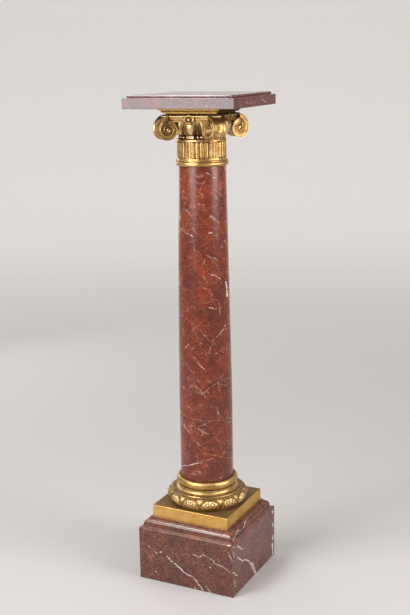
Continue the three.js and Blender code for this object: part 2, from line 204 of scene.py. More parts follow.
# Levels and half widths that follow from them
ROUND_FOOT_HALF = BLOCK_HALF - BLOCK_ARRIS - BLOCK_LEDGE
BLOCK_TOP_HALF = ROUND_FOOT_HALF - BLOCK_ROUND_WIDTH
PLINTH_HALF = BLOCK_TOP_HALF - PLINTH_INSET
BLOCK_LEDGE_Z = BLOCK_FACE_HEIGHT + BLOCK_ARRIS + BLOCK_LEDGE_FALL
BLOCK_ROUND_Z = BLOCK_LEDGE_Z + BLOCK_RISER
BLOCK_TOP = BLOCK_ROUND_Z + BLOCK_ROUND_HEIGHT + BLOCK_FILLET
PLINTH_FOOT = BLOCK_TOP + BED_GAP
RING_FOOT = PLINTH_FOOT + PLINTH_HEIGHT + BED_GAP
LEAF_TORUS_FOOT = RING_FOOT + RING_FOOT_HEIGHT
RING_FILLET_FOOT = LEAF_TORUS_FOOT + LEAF_TORUS_HEIGHT
SCOTIA_FOOT = RING_FILLET_FOOT + RING_FILLET_HEIGHT
UPPER_TORUS_FOOT = SCOTIA_FOOT + SCOTIA_HEIGHT
SHAFT_FOOT = UPPER_TORUS_FOOT + UPPER_TORUS_HEIGHT + BED_GAP
COLLAR_FOOT = SHAFT_FOOT + SHAFT_HEIGHT + BED_GAP
DRUM_FOOT = COLLAR_FOOT + ASTRAGAL_HEIGHT + GROOVE_HEIGHT + FLARE_HEIGHT
DRUM_TOP = DRUM_FOOT + DRUM_HEIGHT
BEAD_FOOT = DRUM_TOP + DRUM_BAND_HEIGHT
CAPITAL_FOOT = BEAD_FOOT + BEAD_ROW_HEIGHT + BED_GAP
CANALIS_FOOT = CAPITAL_FOOT + ECHINUS_HEIGHT
ABACUS_FOOT = CANALIS_FOOT + CANALIS_HEIGHT
RISER_FOOT = ABACUS_FOOT + ABACUS_HEIGHT
PLATE_FOOT = RISER_FOOT + RISER_HEIGHT + BED_GAP
SLAB_FOOT = PLATE_FOOT + PLATE_STEP_HEIGHT + PLATE_HEIGHT + BED_GAP
SLAB_STEP_FOOT = SLAB_FOOT + SLAB_HEIGHT
SLAB_TOP = SLAB_STEP_FOOT + SLAB_STEP_HEIGHT


# Camera

def make_camera():
    azimuth, elevation, roll = CAMERA_AZIMUTH, CAMERA_ELEVATION, CAMERA_ROLL
    back = Vector((math.sin(azimuth) * math.cos(elevation),
                   -math.cos(azimuth) * math.cos(elevation), math.sin(elevation)))
    level_right = Vector((math.cos(azimuth), math.sin(azimuth), 0))
    level_up = back.cross(level_right)
    right = level_right * math.cos(roll) + level_up * math.sin(roll)
    up = level_up * math.cos(roll) - level_right * math.sin(roll)
    data = bpy.data.cameras.new("studio_camera")
    data.lens = CAMERA_LENS
    data.sensor_width = CAMERA_SENSOR_WIDTH
    data.clip_end = CAMERA_SIGHT
    camera = bpy.data.objects.new("studio_camera", data)
    aim = Vector((0, 0, CAMERA_AIM_HEIGHT)) + level_right * CAMERA_AIM_RIGHT
    turn = Matrix((right, up, back)).transposed().to_4x4()
    camera.matrix_world = Matrix.Translation((aim + back * CAMERA_DISTANCE) * MM) @ turn
    bpy.context.collection.objects.link(camera)
    bpy.context.scene.camera = camera


# Nodes and colours

def linear(hex_colour):
    """The linear colour of an sRGB hex value."""
    shares = [int(hex_colour[i:i + 2], 16) / 255 for i in (1, 3, 5)]
    return (*[s / 12.92 if s <= 0.04045 else ((s + 0.055) / 1.055) ** 2.4 for s in shares], 1)


def node(tree, kind, inputs=None, out=0, **settings):
    """Adds a node with its settings, values and links, and gives the output that is asked for.
    A kind that doesn't say Node is a shader node's."""
    made = tree.nodes.new(kind if "Node" in kind else "ShaderNode" + kind)
    for name, value in settings.items():
        setattr(made, name, value)
    for key, value in (inputs or {}).items():
        if isinstance(value, bpy.types.NodeSocket):
            tree.links.new(value, made.inputs[key])
        else:
            made.inputs[key].default_value = value
    return made.outputs[out] if len(made.outputs) else made


def new_material(name):
    material = bpy.data.materials.new(name)
    material.use_nodes = True
    material.node_tree.nodes.clear()
    return material, material.node_tree


# Geometry node trees

def group_with(name, tree_kind, sockets, result, result_kind):
    """An empty tree with the named inputs and one result, and the sockets of its inputs."""
    tree = bpy.data.node_groups.new(name, tree_kind)
    for label, kind in sockets.items():
        tree.interface.new_socket(label, in_out="INPUT", socket_type="NodeSocket" + kind)
    tree.interface.new_socket(result, in_out="OUTPUT", socket_type="NodeSocket" + result_kind)
    return tree, tree.nodes.new("NodeGroupInput").outputs


def finish_tree(tree, geometry, material):
    whole = node(tree, "GeometryNodeRealizeInstances", {"Geometry": geometry})
    dressed = node(tree, "GeometryNodeSetMaterial", {"Geometry": whole, "Material": material})
    node(tree, "NodeGroupOutput", {"Geometry": dressed})


def copies_tree():
    """Copies of one carved bay round the column's axis, joined where they meet."""
    tree, given = group_with("copies_round_axis", "GeometryNodeTree", {
        "Geometry": "Geometry", "Copies": "Int", "First turn": "Float", "Weld": "Float",
        "Material": "Material"}, "Geometry", "Geometry")
    points = node(tree, "GeometryNodePoints", {"Count": given["Copies"]})
    index = node(tree, "GeometryNodeInputIndex")
    pitch = node(tree, "Math", {0: FULL_TURN, 1: given["Copies"]}, operation="DIVIDE")
    turn = node(tree, "Math", {0: index, 1: pitch, 2: given["First turn"]},
                operation="MULTIPLY_ADD")
    angles = node(tree, "CombineXYZ", {"Z": turn})
    rotation = node(tree, "FunctionNodeEulerToRotation", {"Euler": angles})
    copies = node(tree, "GeometryNodeInstanceOnPoints",
                  {"Points": points, "Instance": given["Geometry"], "Rotation": rotation})
    whole = node(tree, "GeometryNodeRealizeInstances", {"Geometry": copies})
    welded = node(tree, "GeometryNodeMergeByDistance",
                  {"Geometry": whole, "Distance": given["Weld"]})
    finish_tree(tree, welded, given["Material"])
    return tree


def shaft_tree():
    """A closed round shaft that is straight below and tapers above."""
    tree, given = group_with("tapering_shaft", "GeometryNodeTree", {
        "Foot radius": "Float", "Top radius": "Float", "Foot level": "Float", "Height": "Float",
        "Straight height": "Float", "Taper power": "Float", "Facets": "Int", "Rows": "Int",
        "Material": "Material"}, "Geometry", "Geometry")
    drum = node(tree, "GeometryNodeMeshCylinder",
                {"Vertices": given["Facets"], "Side Segments": given["Rows"], "Radius": 1.0,
                 "Depth": 1.0})
    position = node(tree, "GeometryNodeInputPosition")
    parts = node(tree, "SeparateXYZ", {0: position}).node.outputs
    share = node(tree, "Math", {0: parts["Z"], 1: 0.5}, operation="ADD")
    height = node(tree, "Math", {0: share, 1: given["Height"]}, operation="MULTIPLY")
    above = node(tree, "MapRange",
                 {"Value": height, "From Min": given["Straight height"],
                  "From Max": given["Height"]})
    eased = node(tree, "Math", {0: above, 1: given["Taper power"]}, operation="POWER")
    radius = node(tree, "MapRange",
                  {"Value": eased, "To Min": given["Foot radius"], "To Max": given["Top radius"]})
    x = node(tree, "Math", {0: parts["X"], 1: radius}, operation="MULTIPLY")
    y = node(tree, "Math", {0: parts["Y"], 1: radius}, operation="MULTIPLY")
    z = node(tree, "Math", {0: height, 1: given["Foot level"]}, operation="ADD")
    place = node(tree, "CombineXYZ", {"X": x, "Y": y, "Z": z})
    shaped = node(tree, "GeometryNodeSetPosition", {"Geometry": drum, "Position": place})
    finish_tree(tree, shaped, given["Material"])
    return tree


def grown(name, start, tree, values):
    """The plain mesh that a tree makes of a start object, as a new object."""
    modifier = start.modifiers.new("grow", "NODES")
    modifier.node_group = tree
    for item in tree.interface.items_tree:
        if item.in_out == "INPUT" and item.name in values:
            modifier[item.identifier] = values[item.name]
    depsgraph = bpy.context.evaluated_depsgraph_get()
    mesh = bpy.data.meshes.new_from_object(start.evaluated_get(depsgraph), depsgraph=depsgraph)
    start.modifiers.remove(modifier)
    bpy.data.objects.remove(start)
    mesh.name = name
    piece = bpy.data.objects.new(name, mesh)
    bpy.context.collection.objects.link(piece)
    return piece


# Mesh making

def mesh_object(name, points, faces, patina_and_shade_values=None):
    """A mesh from points in millimetres, with the patina and painted shade of each point if given.
    """
    mesh = bpy.data.meshes.new(name)
    mesh.from_pydata((np.asarray(points, float).reshape(-1, 3) * MM).tolist(), [], faces)
    if patina_and_shade_values is not None:
        attribute = mesh.attributes.new("patina_and_shade", "FLOAT", "POINT")
        attribute.data.foreach_set("value", np.asarray(patina_and_shade_values, np.float32).ravel())
    piece = bpy.data.objects.new(name, mesh)
    bpy.context.collection.objects.link(piece)
    return piece


def grid_faces(rows, columns, wrap_rows=False, wrap_columns=False):
    """Quads over a grid of points that is stored row after row."""
    faces = []
    for i in range(rows if wrap_rows else rows - 1):
        for j in range(columns if wrap_columns else columns - 1):
            a, b = i * columns + j, i * columns + (j + 1) % columns
            up = ((i + 1) % rows) * columns
            faces.append((a, b, up + (j + 1) % columns, up + j))
    return faces


def tube_faces(rows, columns):
    """Quads round a tube of loops, with a face over each end."""
    faces = grid_faces(rows, columns, wrap_columns=True)
    faces.append(tuple(reversed(range(columns))))
    faces.append(tuple((rows - 1) * columns + i for i in range(columns)))
    return faces


def round_axis(radius, azimuths, z):
    """Points round the axis, a row for each radius and level and a column for each azimuth."""
    return np.stack([radius * np.sin(azimuths), -radius * np.cos(azimuths), z + 0 * azimuths], 2)


def shade(piece, sharp_angle):
    """Smooth shading, with creases where the surface turns by more than the angle."""
    for polygon in piece.data.polygons:
        polygon.use_smooth = True
    piece.data.set_sharp_from_angle(angle=math.radians(sharp_angle))


def arc(centre_r, centre_z, size_r, size_z, start, end, steps):
    """Points of an arc in a section, as [radius, z] pairs; angles in degrees."""
    angles = np.radians(np.linspace(start, end, steps + 1))
    return [[centre_r + size_r * math.cos(a), centre_z + size_z * math.sin(a)] for a in angles]


def torus_section(crest, bulge, bottom, height, steps):
    return arc(crest - bulge, bottom + height / 2, bulge, height / 2, -90, 90, steps)


def section_normals(rows):
    """Outward directions of a closed section that runs up its outside."""
    rows = np.asarray(rows, float)
    along = np.roll(rows, -1, 0) - np.roll(rows, 1, 0)
    across = np.stack([along[:, 1], -along[:, 0]], 1)
    return across / np.maximum(np.linalg.norm(across, axis=1, keepdims=True), 1e-9)


def turned(name, rows, facets=192):
    """A closed ring turned about the axis from a closed section."""
    rows = np.asarray(rows, float)
    azimuths = np.arange(facets) * FULL_TURN / facets
    points = round_axis(rows[:, :1], azimuths, rows[:, 1:])
    return mesh_object(name, points, grid_faces(len(rows), facets, True, True))


def carved_bay(name, carved, bore, copies, columns, relief):
    """One bay of a ring, centred on azimuth 0, with a carved section outside and a plain bore.
    relief(azimuth, share up) gives how far each point stands out, and its patina and painted
    shade."""
    carved = np.asarray(carved, float)
    rows = np.concatenate([carved, [[bore, carved[-1, 1]], [bore, carved[0, 1]]]])
    normals = section_normals(rows)
    azimuths = np.linspace(-math.pi / copies, math.pi / copies, columns + 1)
    share = np.linspace(0, 1, len(carved))
    flat = np.zeros((2, columns + 1))
    height, patina_and_shade = [np.concatenate([field, flat])
                      for field in relief(azimuths[None, :], share[:, None])]
    points = round_axis(rows[:, :1] + normals[:, :1] * height, azimuths,
                        rows[:, 1:] + normals[:, 1:] * height)
    return mesh_object(name, points, grid_faces(len(rows), columns + 1, True), patina_and_shade)


def rounded_square(half):
    """Corner-rounded square loop, anticlockwise from above, with a point close by each side of
    every corner, so that the faces between stay flat to the eye."""
    points = []
    for turn in np.arange(4) * math.pi / 2:
        out = half - CORNER_RADIUS
        centre = np.array([out * (math.cos(turn) - math.sin(turn)),
                           out * (math.sin(turn) + math.cos(turn))])
        along = np.array([-math.sin(turn), math.cos(turn)])
        onward = np.array([-math.cos(turn), -math.sin(turn)])
        rounding = [centre + CORNER_RADIUS * np.array([math.cos(a), math.sin(a)])
                    for a in np.linspace(0, math.pi / 2, CORNER_STEPS + 1) + turn]
        points += [rounding[0] - EDGE_CLOSENESS * along, *rounding,
                   rounding[-1] + EDGE_CLOSENESS * onward]
    return np.array(points)


def squared(name, rows, turn=0.0, shade_and_tarnish=None):
    """A closed square solid from rows of [half width, z], from its underside to its top."""
    loops = []
    for half, z in rows:
        loop = rounded_square(half)
        x = loop[:, 0] * math.cos(turn) - loop[:, 1] * math.sin(turn)
        y = loop[:, 0] * math.sin(turn) + loop[:, 1] * math.cos(turn)
        loops.append(np.stack([x, y, 0 * x + z], 1))
    # Each point's painted shade and tarnishing, when given
    patina_and_shade_values = None if shade_and_tarnish is None else [shade_and_tarnish(*point) for loop in loops for point in loop]
    return mesh_object(name, loops, tube_faces(len(loops), len(loops[0])), patina_and_shade_values)


def eased(half, z, size, start, end, steps=8):
    """Section points of an eased edge whose outermost corner is at [half, z], with a row close
    by on each side, so that the flat faces beside it stay flat to the eye."""
    centre_z = z - size if start == 0 else z + size
    points = arc(half - size, centre_z, size, size, start, end, steps)
    first, last = math.radians(start), math.radians(end)
    before = [points[0][0] + EDGE_CLOSENESS * math.sin(first),
              points[0][1] - EDGE_CLOSENESS * math.cos(first)]
    after = [points[-1][0] - EDGE_CLOSENESS * math.sin(last),
             points[-1][1] + EDGE_CLOSENESS * math.cos(last)]
    return [before, *points, after]


def beveled(half, z, height):
    """Section points of a steep flat bevel on the upper corner at [half, z]."""
    slope = math.tan(BEVEL_LEAN)
    side = half - height * slope
    eased_by = 0.12 * height
    return [[half, z - height - 2 * eased_by], [half, z - height - eased_by],
            [half - eased_by * slope, z - height + eased_by],
            [side + eased_by * slope, z - eased_by],
            [side - eased_by, z], [side - 2 * eased_by, z]]


def smoothstep(low, high, value):
    t = np.clip((value - low) / (high - low), 0, 1)
    return t * t * (3 - 2 * t)


def bell(value, width):
    return np.exp(-(value / width) ** 2)


def hand_in(piece, cad_node, material=None, sharp_angle=None):
    """Gives a finished piece its creases, its material and its body, and hides the CAD node
    it stands for."""
    if sharp_angle is not None:
        shade(piece, sharp_angle)
    if material is not None:
        piece.data.materials.clear()
        piece.data.materials.append(material)
    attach(piece, "root")
    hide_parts(cad_node)


def copied_round(name, bay, tree, copies, first_turn, material, cad_node, weld=WELD):
    """One carved bay of gilt bronze, copied round the axis as a single piece."""
    shade(bay, CARVED_CREASE)
    piece = grown(name, bay, tree, {
        "Copies": copies, "First turn": first_turn, "Weld": weld * MM, "Material": material})
    hand_in(piece, cad_node)


# Marble

# Stone colours: dark, brown, red and grain colour of each piece, and its veins
SHAFT_TONES = ("#3a120c", "#672c1e", "#8a371e", "#8c4f38")
BLOCK_TONES = ("#3a1b16", "#653a31", "#7f4435", "#9c7669")
SLAB_TONES = ("#220a06", "#4a1a0f", "#68220f", "#7a3c2a")
PALE_VEIN = "#e8dccf"
OCHRE_VEIN = "#b0713a"
LINE_PALE = "#c99a84"

# Noise in the stone: its size in mm, detail, roughness and distortion
STONE_NOISE = {
    "clouds": (60, 5.0, 0.6, 0.6),
    "smears": (24, 4.0, 0.6, 1.0),
    "flecks": (6, 5.0, 0.7, 0.0),
    "grains": (3.5, 3.0, 0.65, 0.0),
}
CRACK_SPACING = 15
SWELL_SIZE = 22

# Hairlines are long one way and close the other; each family has its slant, spacing in mm,
# fineness, share that is left and strength
LINE_STRETCH = (6.5, 1.0, 1.0)
LINE_FAMILIES = (
    ((0.0, math.radians(42), 0.3), 20.0, 0.0085, 0.62, 0.65),
    ((0.0, math.radians(-32), -0.2), 24.0, 0.0080, 0.50, 0.60),
    ((0.2, math.radians(3), 0.5), 30.0, 0.0075, 0.40, 0.50),
)


def stroke_group():
    """Mask of one vein: a tapering stroke between two points, in millimetres."""
    tree, given = group_with("vein_stroke", "ShaderNodeTree", {
        "Point": "Vector", "From": "Vector", "To": "Vector", "Width": "Float",
        "Strength": "Float", "So far": "Float"}, "Mask", "Float")
    run = node(tree, "VectorMath", {0: given["To"], 1: given["From"]}, operation="SUBTRACT")
    reach = node(tree, "VectorMath", {0: given["Point"], 1: given["From"]}, operation="SUBTRACT")
    dot = node(tree, "VectorMath", {0: run, 1: reach}, "Value", operation="DOT_PRODUCT")
    square = node(tree, "VectorMath", {0: run, 1: run}, "Value", operation="DOT_PRODUCT")
    share = node(tree, "Math", {0: dot, 1: square}, operation="DIVIDE", use_clamp=True)
    foot = node(tree, "VectorMath", {0: run, "Scale": share}, operation="SCALE")
    away = node(tree, "VectorMath", {0: reach, 1: foot}, "Value", operation="DISTANCE")
    core = node(tree, "Math", {0: given["Width"], 1: 0.25}, operation="MULTIPLY")
    inside = node(tree, "MapRange",
                  {"Value": away, "From Min": given["Width"], "From Max": core},
                  interpolation_type="SMOOTHSTEP")
    mask = node(tree, "Math", {0: inside, 1: given["Strength"]}, operation="MULTIPLY")
    most = node(tree, "Math", {0: mask, 1: given["So far"]}, operation="MAXIMUM")
    node(tree, "NodeGroupOutput", {"Mask": most})
    return tree


def strokes(tree, group, point, veins):
    """The strongest of many strokes at each point; a vein is (from, to, width, strength)."""
    mask = 0.0
    for start, end, width, strength in veins:
        mask = node(tree, "Group",
                    {"Point": point, "From": start, "To": end, "Width": width,
                     "Strength": strength, "So far": mask}, node_tree=group)
    return mask


def hairlines(tree, point, slant, size, fineness, share):
    """Thin pale lines about a size apart that all run the same slant, kept in patches only."""
    drawn_out = node(tree, "Mapping",
                     {"Vector": point, "Rotation": slant, "Scale": LINE_STRETCH},
                     vector_type="TEXTURE")
    field = node(tree, "TexNoise",
                 {"Vector": drawn_out, "Scale": 1 / size, "Detail": 1.5, "Roughness": 0.5})
    middle = node(tree, "Math", {0: field, 1: 0.5}, operation="SUBTRACT")
    away = node(tree, "Math", {0: middle}, operation="ABSOLUTE")
    line = node(tree, "MapRange", {"Value": away, "From Min": fineness, "From Max": 0.0})
    shifted = node(tree, "VectorMath", {0: drawn_out, 1: (size, 3 * size, 7 * size)},
                   operation="ADD")
    patch = node(tree, "TexNoise", {"Vector": shifted, "Scale": 1.3 / size, "Detail": 2.0})
    kept = node(tree, "MapRange",
                {"Value": patch, "From Min": 0.62 - 0.25 * share, "From Max": 0.68 - 0.2 * share})
    return node(tree, "Math", {0: line, 1: kept}, operation="MULTIPLY")


def warped_by(tree, point, scale, amount, base=None):
    """A point pushed about by noise of a scale, by up to about a third of the amount."""
    bend = node(tree, "TexNoise", {"Vector": point, "Scale": scale, "Detail": 4.0,
                                             "Roughness": 0.6}, "Color")
    centred = node(tree, "VectorMath", {0: bend, 1: (0.5, 0.5, 0.5)}, operation="SUBTRACT")
    moved = node(tree, "VectorMath", {0: centred, "Scale": amount}, operation="SCALE")
    return node(tree, "VectorMath", {0: base or point, 1: moved}, operation="ADD")


def polished_marble(name, group, pale_veins, ochre_veins, tones, grain, line_share, roughness,
                    unrolled=False):
    """Polished brown-red limestone marble: the eye sees a glossy wine to brick red body, clouded
    and speckled in grains of a few millimetres, and crossed by thin pale and ochre lines."""
    material, tree = new_material(name)
    where = node(tree, "TexCoord", None, "Object")
    point = node(tree, "VectorMath", {0: where, "Scale": 1 / MM}, operation="SCALE")
    drawn = unrolled_point(tree, point) if unrolled else point
    # Veins wander by a few millimetres and have ragged sides
    swayed = warped_by(tree, point, 1 / 18, 9.0, drawn)
    warped = warped_by(tree, point, 1 / 5, 5.0, swayed)
    pale = strokes(tree, group, warped, pale_veins)
    ochre = strokes(tree, group, warped, ochre_veins)
    noise = {}
    for what, (size, detail, rough, distortion) in STONE_NOISE.items():
        noise[what] = node(tree, "TexNoise",
                           {"Vector": point, "Scale": 1 / size, "Detail": detail,
                            "Roughness": rough, "Distortion": distortion})
    noise["cracks"] = node(tree, "TexVoronoi",
                           {"Vector": warped_by(tree, point, 1 / 9, 9.0),
                            "Scale": 1 / CRACK_SPACING}, feature="DISTANCE_TO_EDGE")
    # The body is brown, under clouds of red, dark smears and flecks, paler grains and fine dark
    # cracks. Each has the noise at which it starts and is full, its strength and its colour
    dark, colour, red, pale_grain = [linear(tone) for tone in tones]
    for what, start, full, strength, tone in (
            ("clouds", 0.38, 0.62, 1.0, red),
            ("smears", 0.6, 0.35, 0.5, dark),
            ("flecks", 0.58, 0.36, grain, dark),
            ("grains", 0.5, 0.68, grain, pale_grain),
            ("cracks", 0.05, 0.0, grain, dark)):
        cover = node(tree, "MapRange", {"Value": noise[what], "From Min": start,
                                        "From Max": full, "To Max": strength})
        colour = node(tree, "Mix", {0: cover, 6: colour, 7: tone}, 2, data_type="RGBA")
    bent = warped_by(tree, point, 1 / 25, 7.0, drawn)
    lines = 0.0
    for slant, size, fineness, share, strength in LINE_FAMILIES:
        family = hairlines(tree, bent, slant, size, fineness, share)
        weak = node(tree, "Math", {0: family, 1: strength * line_share}, operation="MULTIPLY")
        lines = node(tree, "Math", {0: lines, 1: weak}, operation="MAXIMUM")
    # Pale veins are broken by the grain
    broken = node(tree, "MapRange", {"Value": noise["flecks"], "From Min": 0.38,
                                     "From Max": 0.5, "To Min": 0.25})
    shown = node(tree, "Math", {0: pale, 1: broken}, operation="MULTIPLY")
    for cover, tone in ((lines, LINE_PALE), (ochre, OCHRE_VEIN), (shown, PALE_VEIN)):
        colour = node(tree, "Mix", {0: cover, 6: colour, 7: linear(tone)}, 2, data_type="RGBA")
    gloss = node(tree, "MapRange",
                 {"Value": noise["flecks"], "From Min": 0.3, "From Max": 0.7,
                  "To Min": roughness - 0.04, "To Max": roughness + 0.04})
    swell = node(tree, "TexNoise", {"Vector": point, "Scale": 1 / SWELL_SIZE, "Detail": 2.0})
    bumped = node(tree, "Bump", {"Strength": 0.1, "Distance": 0.4 * MM, "Height": swell})
    surface = node(tree, "BsdfPrincipled",
                   {"Base Color": colour, "Roughness": gloss, "IOR": 1.5, "Normal": bumped})
    node(tree, "OutputMaterial", {"Surface": surface})
    return material


def unrolled_point(tree, point):
    """The shaft's surface laid flat: degrees round from its show side, and height, as X and Z.
    A degree is very nearly a millimetre of the shaft's surface."""
    faced = node(tree, "VectorRotate",
                 {"Vector": point, "Axis": (0, 0, 1), "Angle": -CAMERA_AZIMUTH})
    parts = node(tree, "SeparateXYZ", {0: faced}).node.outputs
    front = node(tree, "Math", {0: parts["Y"], 1: -1.0}, operation="MULTIPLY")
    angle = node(tree, "Math", {0: parts["X"], 1: front}, operation="ARCTAN2")
    degrees = node(tree, "Math", {0: angle}, operation="DEGREES")
    return node(tree, "CombineXYZ", {"X": degrees, "Z": parts["Z"]})


def vein_strokes(veins, place):
    """Strokes from veins of (width, strength, then their points), each put by place."""
    found = []
    for width, strength, *line in veins:
        points = [place(*numbers) for numbers in line]
        found += [(start, end, width, strength) for start, end in zip(points, points[1:])]
    return found


# Gilt bronze

GILT = "#d9b277"
WARM_GILT = "#b08648"
BRIGHT_GILT = "#f0c272"
PLAIN_GILT = "#dfae62"
# Pale gold of rubbed crests, which also paints their highlight
WORN_GILT_HIGHLIGHT = "#fbe6b8"
PATINA_AND_SHADE_BROWN = "#443019"
DUSTY_BROWN = "#5c483c"

# How tarnished the plates are and how much painted shade they carry, from 0, clean and lit, to 1,
# brown and shaded
PLINTH_SIDE_SHADE = 0.45
HEAD_SHADE_AND_TARNISH = 0.8
HEAD_FRONT_TARNISH = 0.35


def gilt_bronze(name, light_gold, deep_gold, roughness, patina_and_shade_share):
    """Cast bronze, mercury gilded: the eye sees a warm satin gold, worn bright with a painted
    highlight where it stands out, brown with patina and painted shade in recesses and on shaded
    sides, dusty on top."""
    material, tree = new_material(name)
    where = node(tree, "TexCoord", None, "Object")
    point = node(tree, "VectorMath", {0: where, "Scale": 1 / MM}, operation="SCALE")
    # The gold drifts in tone over 18 mm and is specked at 2.5 mm
    clouds = node(tree, "TexNoise",
                  {"Vector": point, "Scale": 1 / 18, "Detail": 5.0, "Roughness": 0.6})
    specks = node(tree, "TexNoise",
                  {"Vector": point, "Scale": 1 / 2.5, "Detail": 4.0, "Roughness": 0.7})
    deeper = node(tree, "MapRange", {"Value": clouds, "From Min": 0.38, "From Max": 0.64})
    # Each point's value: above 0 patina with painted shade, below 0 a worn crest with a painted
    # highlight
    patina_and_shade = node(tree, "Attribute", None, "Fac", attribute_name="patina_and_shade")
    # Crests that stand out are painted pale, as wear and as a painted highlight
    worn_highlight = node(tree, "MapRange", {"Value": patina_and_shade, "From Min": 0.0, "From Max": -1.0})
    ragged = node(tree, "Math", {0: specks, 1: 0.5}, operation="SUBTRACT")
    low = node(tree, "Math", {0: ragged, 1: 0.9, 2: patina_and_shade}, operation="MULTIPLY_ADD")
    patina_and_shade_cover = node(tree, "MapRange", {"Value": low, "From Min": 0.25, "From Max": 0.85,
                                    "To Max": patina_and_shade_share}, interpolation_type="SMOOTHSTEP")
    normal = node(tree, "NewGeometry", None, "Normal")
    level = node(tree, "SeparateXYZ", {0: normal}, "Z")
    settled = node(tree, "MapRange", {"Value": level, "From Min": 0.8, "From Max": 1.0,
                                      "To Max": 0.75}, interpolation_type="SMOOTHSTEP")
    rough = node(tree, "MapRange",
                 {"Value": specks, "From Min": 0.3, "From Max": 0.7,
                  "To Min": roughness - 0.06, "To Max": roughness + 0.08})
    colour = node(tree, "Mix", {0: deeper, 6: linear(light_gold), 7: linear(deep_gold)}, 2,
                  data_type="RGBA")
    # Each state of the surface has its colour and what it adds to the roughness
    for cover, tone, added in ((worn_highlight, WORN_GILT_HIGHLIGHT, -0.1), (patina_and_shade_cover, PATINA_AND_SHADE_BROWN, 0.25),
                               (settled, DUSTY_BROWN, 0.2)):
        colour = node(tree, "Mix", {0: cover, 6: colour, 7: linear(tone)}, 2, data_type="RGBA")
        rough = node(tree, "Math", {0: cover, 1: added, 2: rough}, operation="MULTIPLY_ADD")
    bumped = node(tree, "Bump", {"Strength": 0.25, "Distance": 0.15 * MM, "Height": specks})
    surface = node(tree, "BsdfPrincipled", {"Base Color": colour, "Metallic": 1.0,
                                            "Roughness": rough, "Normal": bumped})
    node(tree, "OutputMaterial", {"Surface": surface})
    return material


# Marble pieces

def make_block(material):
    rows = eased(BLOCK_HALF, 0, EASE, -90, 0)
    rows += eased(BLOCK_HALF, BLOCK_FACE_HEIGHT + BLOCK_ARRIS, BLOCK_EASE, 0, BLOCK_EASE_END)
    rows += [[ROUND_FOOT_HALF, BLOCK_LEDGE_Z], [ROUND_FOOT_HALF, BLOCK_ROUND_Z]]
    rows += arc(BLOCK_TOP_HALF, BLOCK_ROUND_Z, BLOCK_ROUND_WIDTH, BLOCK_ROUND_HEIGHT, 0, 90, 16)
    rows += [[BLOCK_TOP_HALF, BLOCK_TOP]]
    piece = squared("marble_block_moulded", rows)
    hand_in(piece, "marble_plinth_block", material, FLAT_CREASE)


def make_shaft(tree, material):
    start = mesh_object("shaft_start", np.zeros((0, 3)), [])
    piece = grown("marble_shaft_turned", start, tree, {
        "Foot radius": SHAFT_FOOT_RADIUS * MM, "Top radius": SHAFT_TOP_RADIUS * MM,
        "Foot level": SHAFT_FOOT * MM, "Height": SHAFT_HEIGHT * MM,
        "Straight height": SHAFT_STRAIGHT_HEIGHT * MM, "Taper power": SHAFT_TAPER_POWER,
        "Facets": 256, "Rows": 48, "Material": material})
    hand_in(piece, "marble_shaft", sharp_angle=ROUND_CREASE)


def make_slab(material):
    """A square slab whose upper edge steps in: an undercut quirk, then a bevel that shines."""
    inner = SLAB_HALF - SLAB_STEP
    bevel_foot = SLAB_TOP - SLAB_BEVEL_HEIGHT
    rows = eased(SLAB_HALF, SLAB_FOOT, EASE, -90, 0)
    rows += beveled(SLAB_HALF, SLAB_STEP_FOOT, SLAB_EDGE_BEVEL)
    rows += [[inner - SLAB_UNDERCUT, SLAB_STEP_FOOT],
             [inner - SLAB_UNDERCUT, SLAB_STEP_FOOT + 0.4], [inner - 0.2, bevel_foot - 0.2]]
    rows += beveled(inner, SLAB_TOP, SLAB_BEVEL_HEIGHT)
    piece = squared("marble_slab_moulded", rows, HEAD_TURN)
    hand_in(piece, "marble_top_slab", material, FLAT_CREASE)


# Bronze base

def make_plinth(material):
    """A plain plate, bright in front, with painted shade that makes its other sides duller."""
    def shade_and_tarnish(x, y, z):
        return 0.0 if y < 0.3 - PLINTH_HALF else PLINTH_SIDE_SHADE

    rows = [[PLINTH_HALF, PLINTH_FOOT]]
    rows += eased(PLINTH_HALF, PLINTH_FOOT + PLINTH_HEIGHT, EASE, 0, 90)
    piece = squared("bronze_plinth_plate", rows, shade_and_tarnish=shade_and_tarnish)
    hand_in(piece, "bronze_plinth", material, FLAT_CREASE)


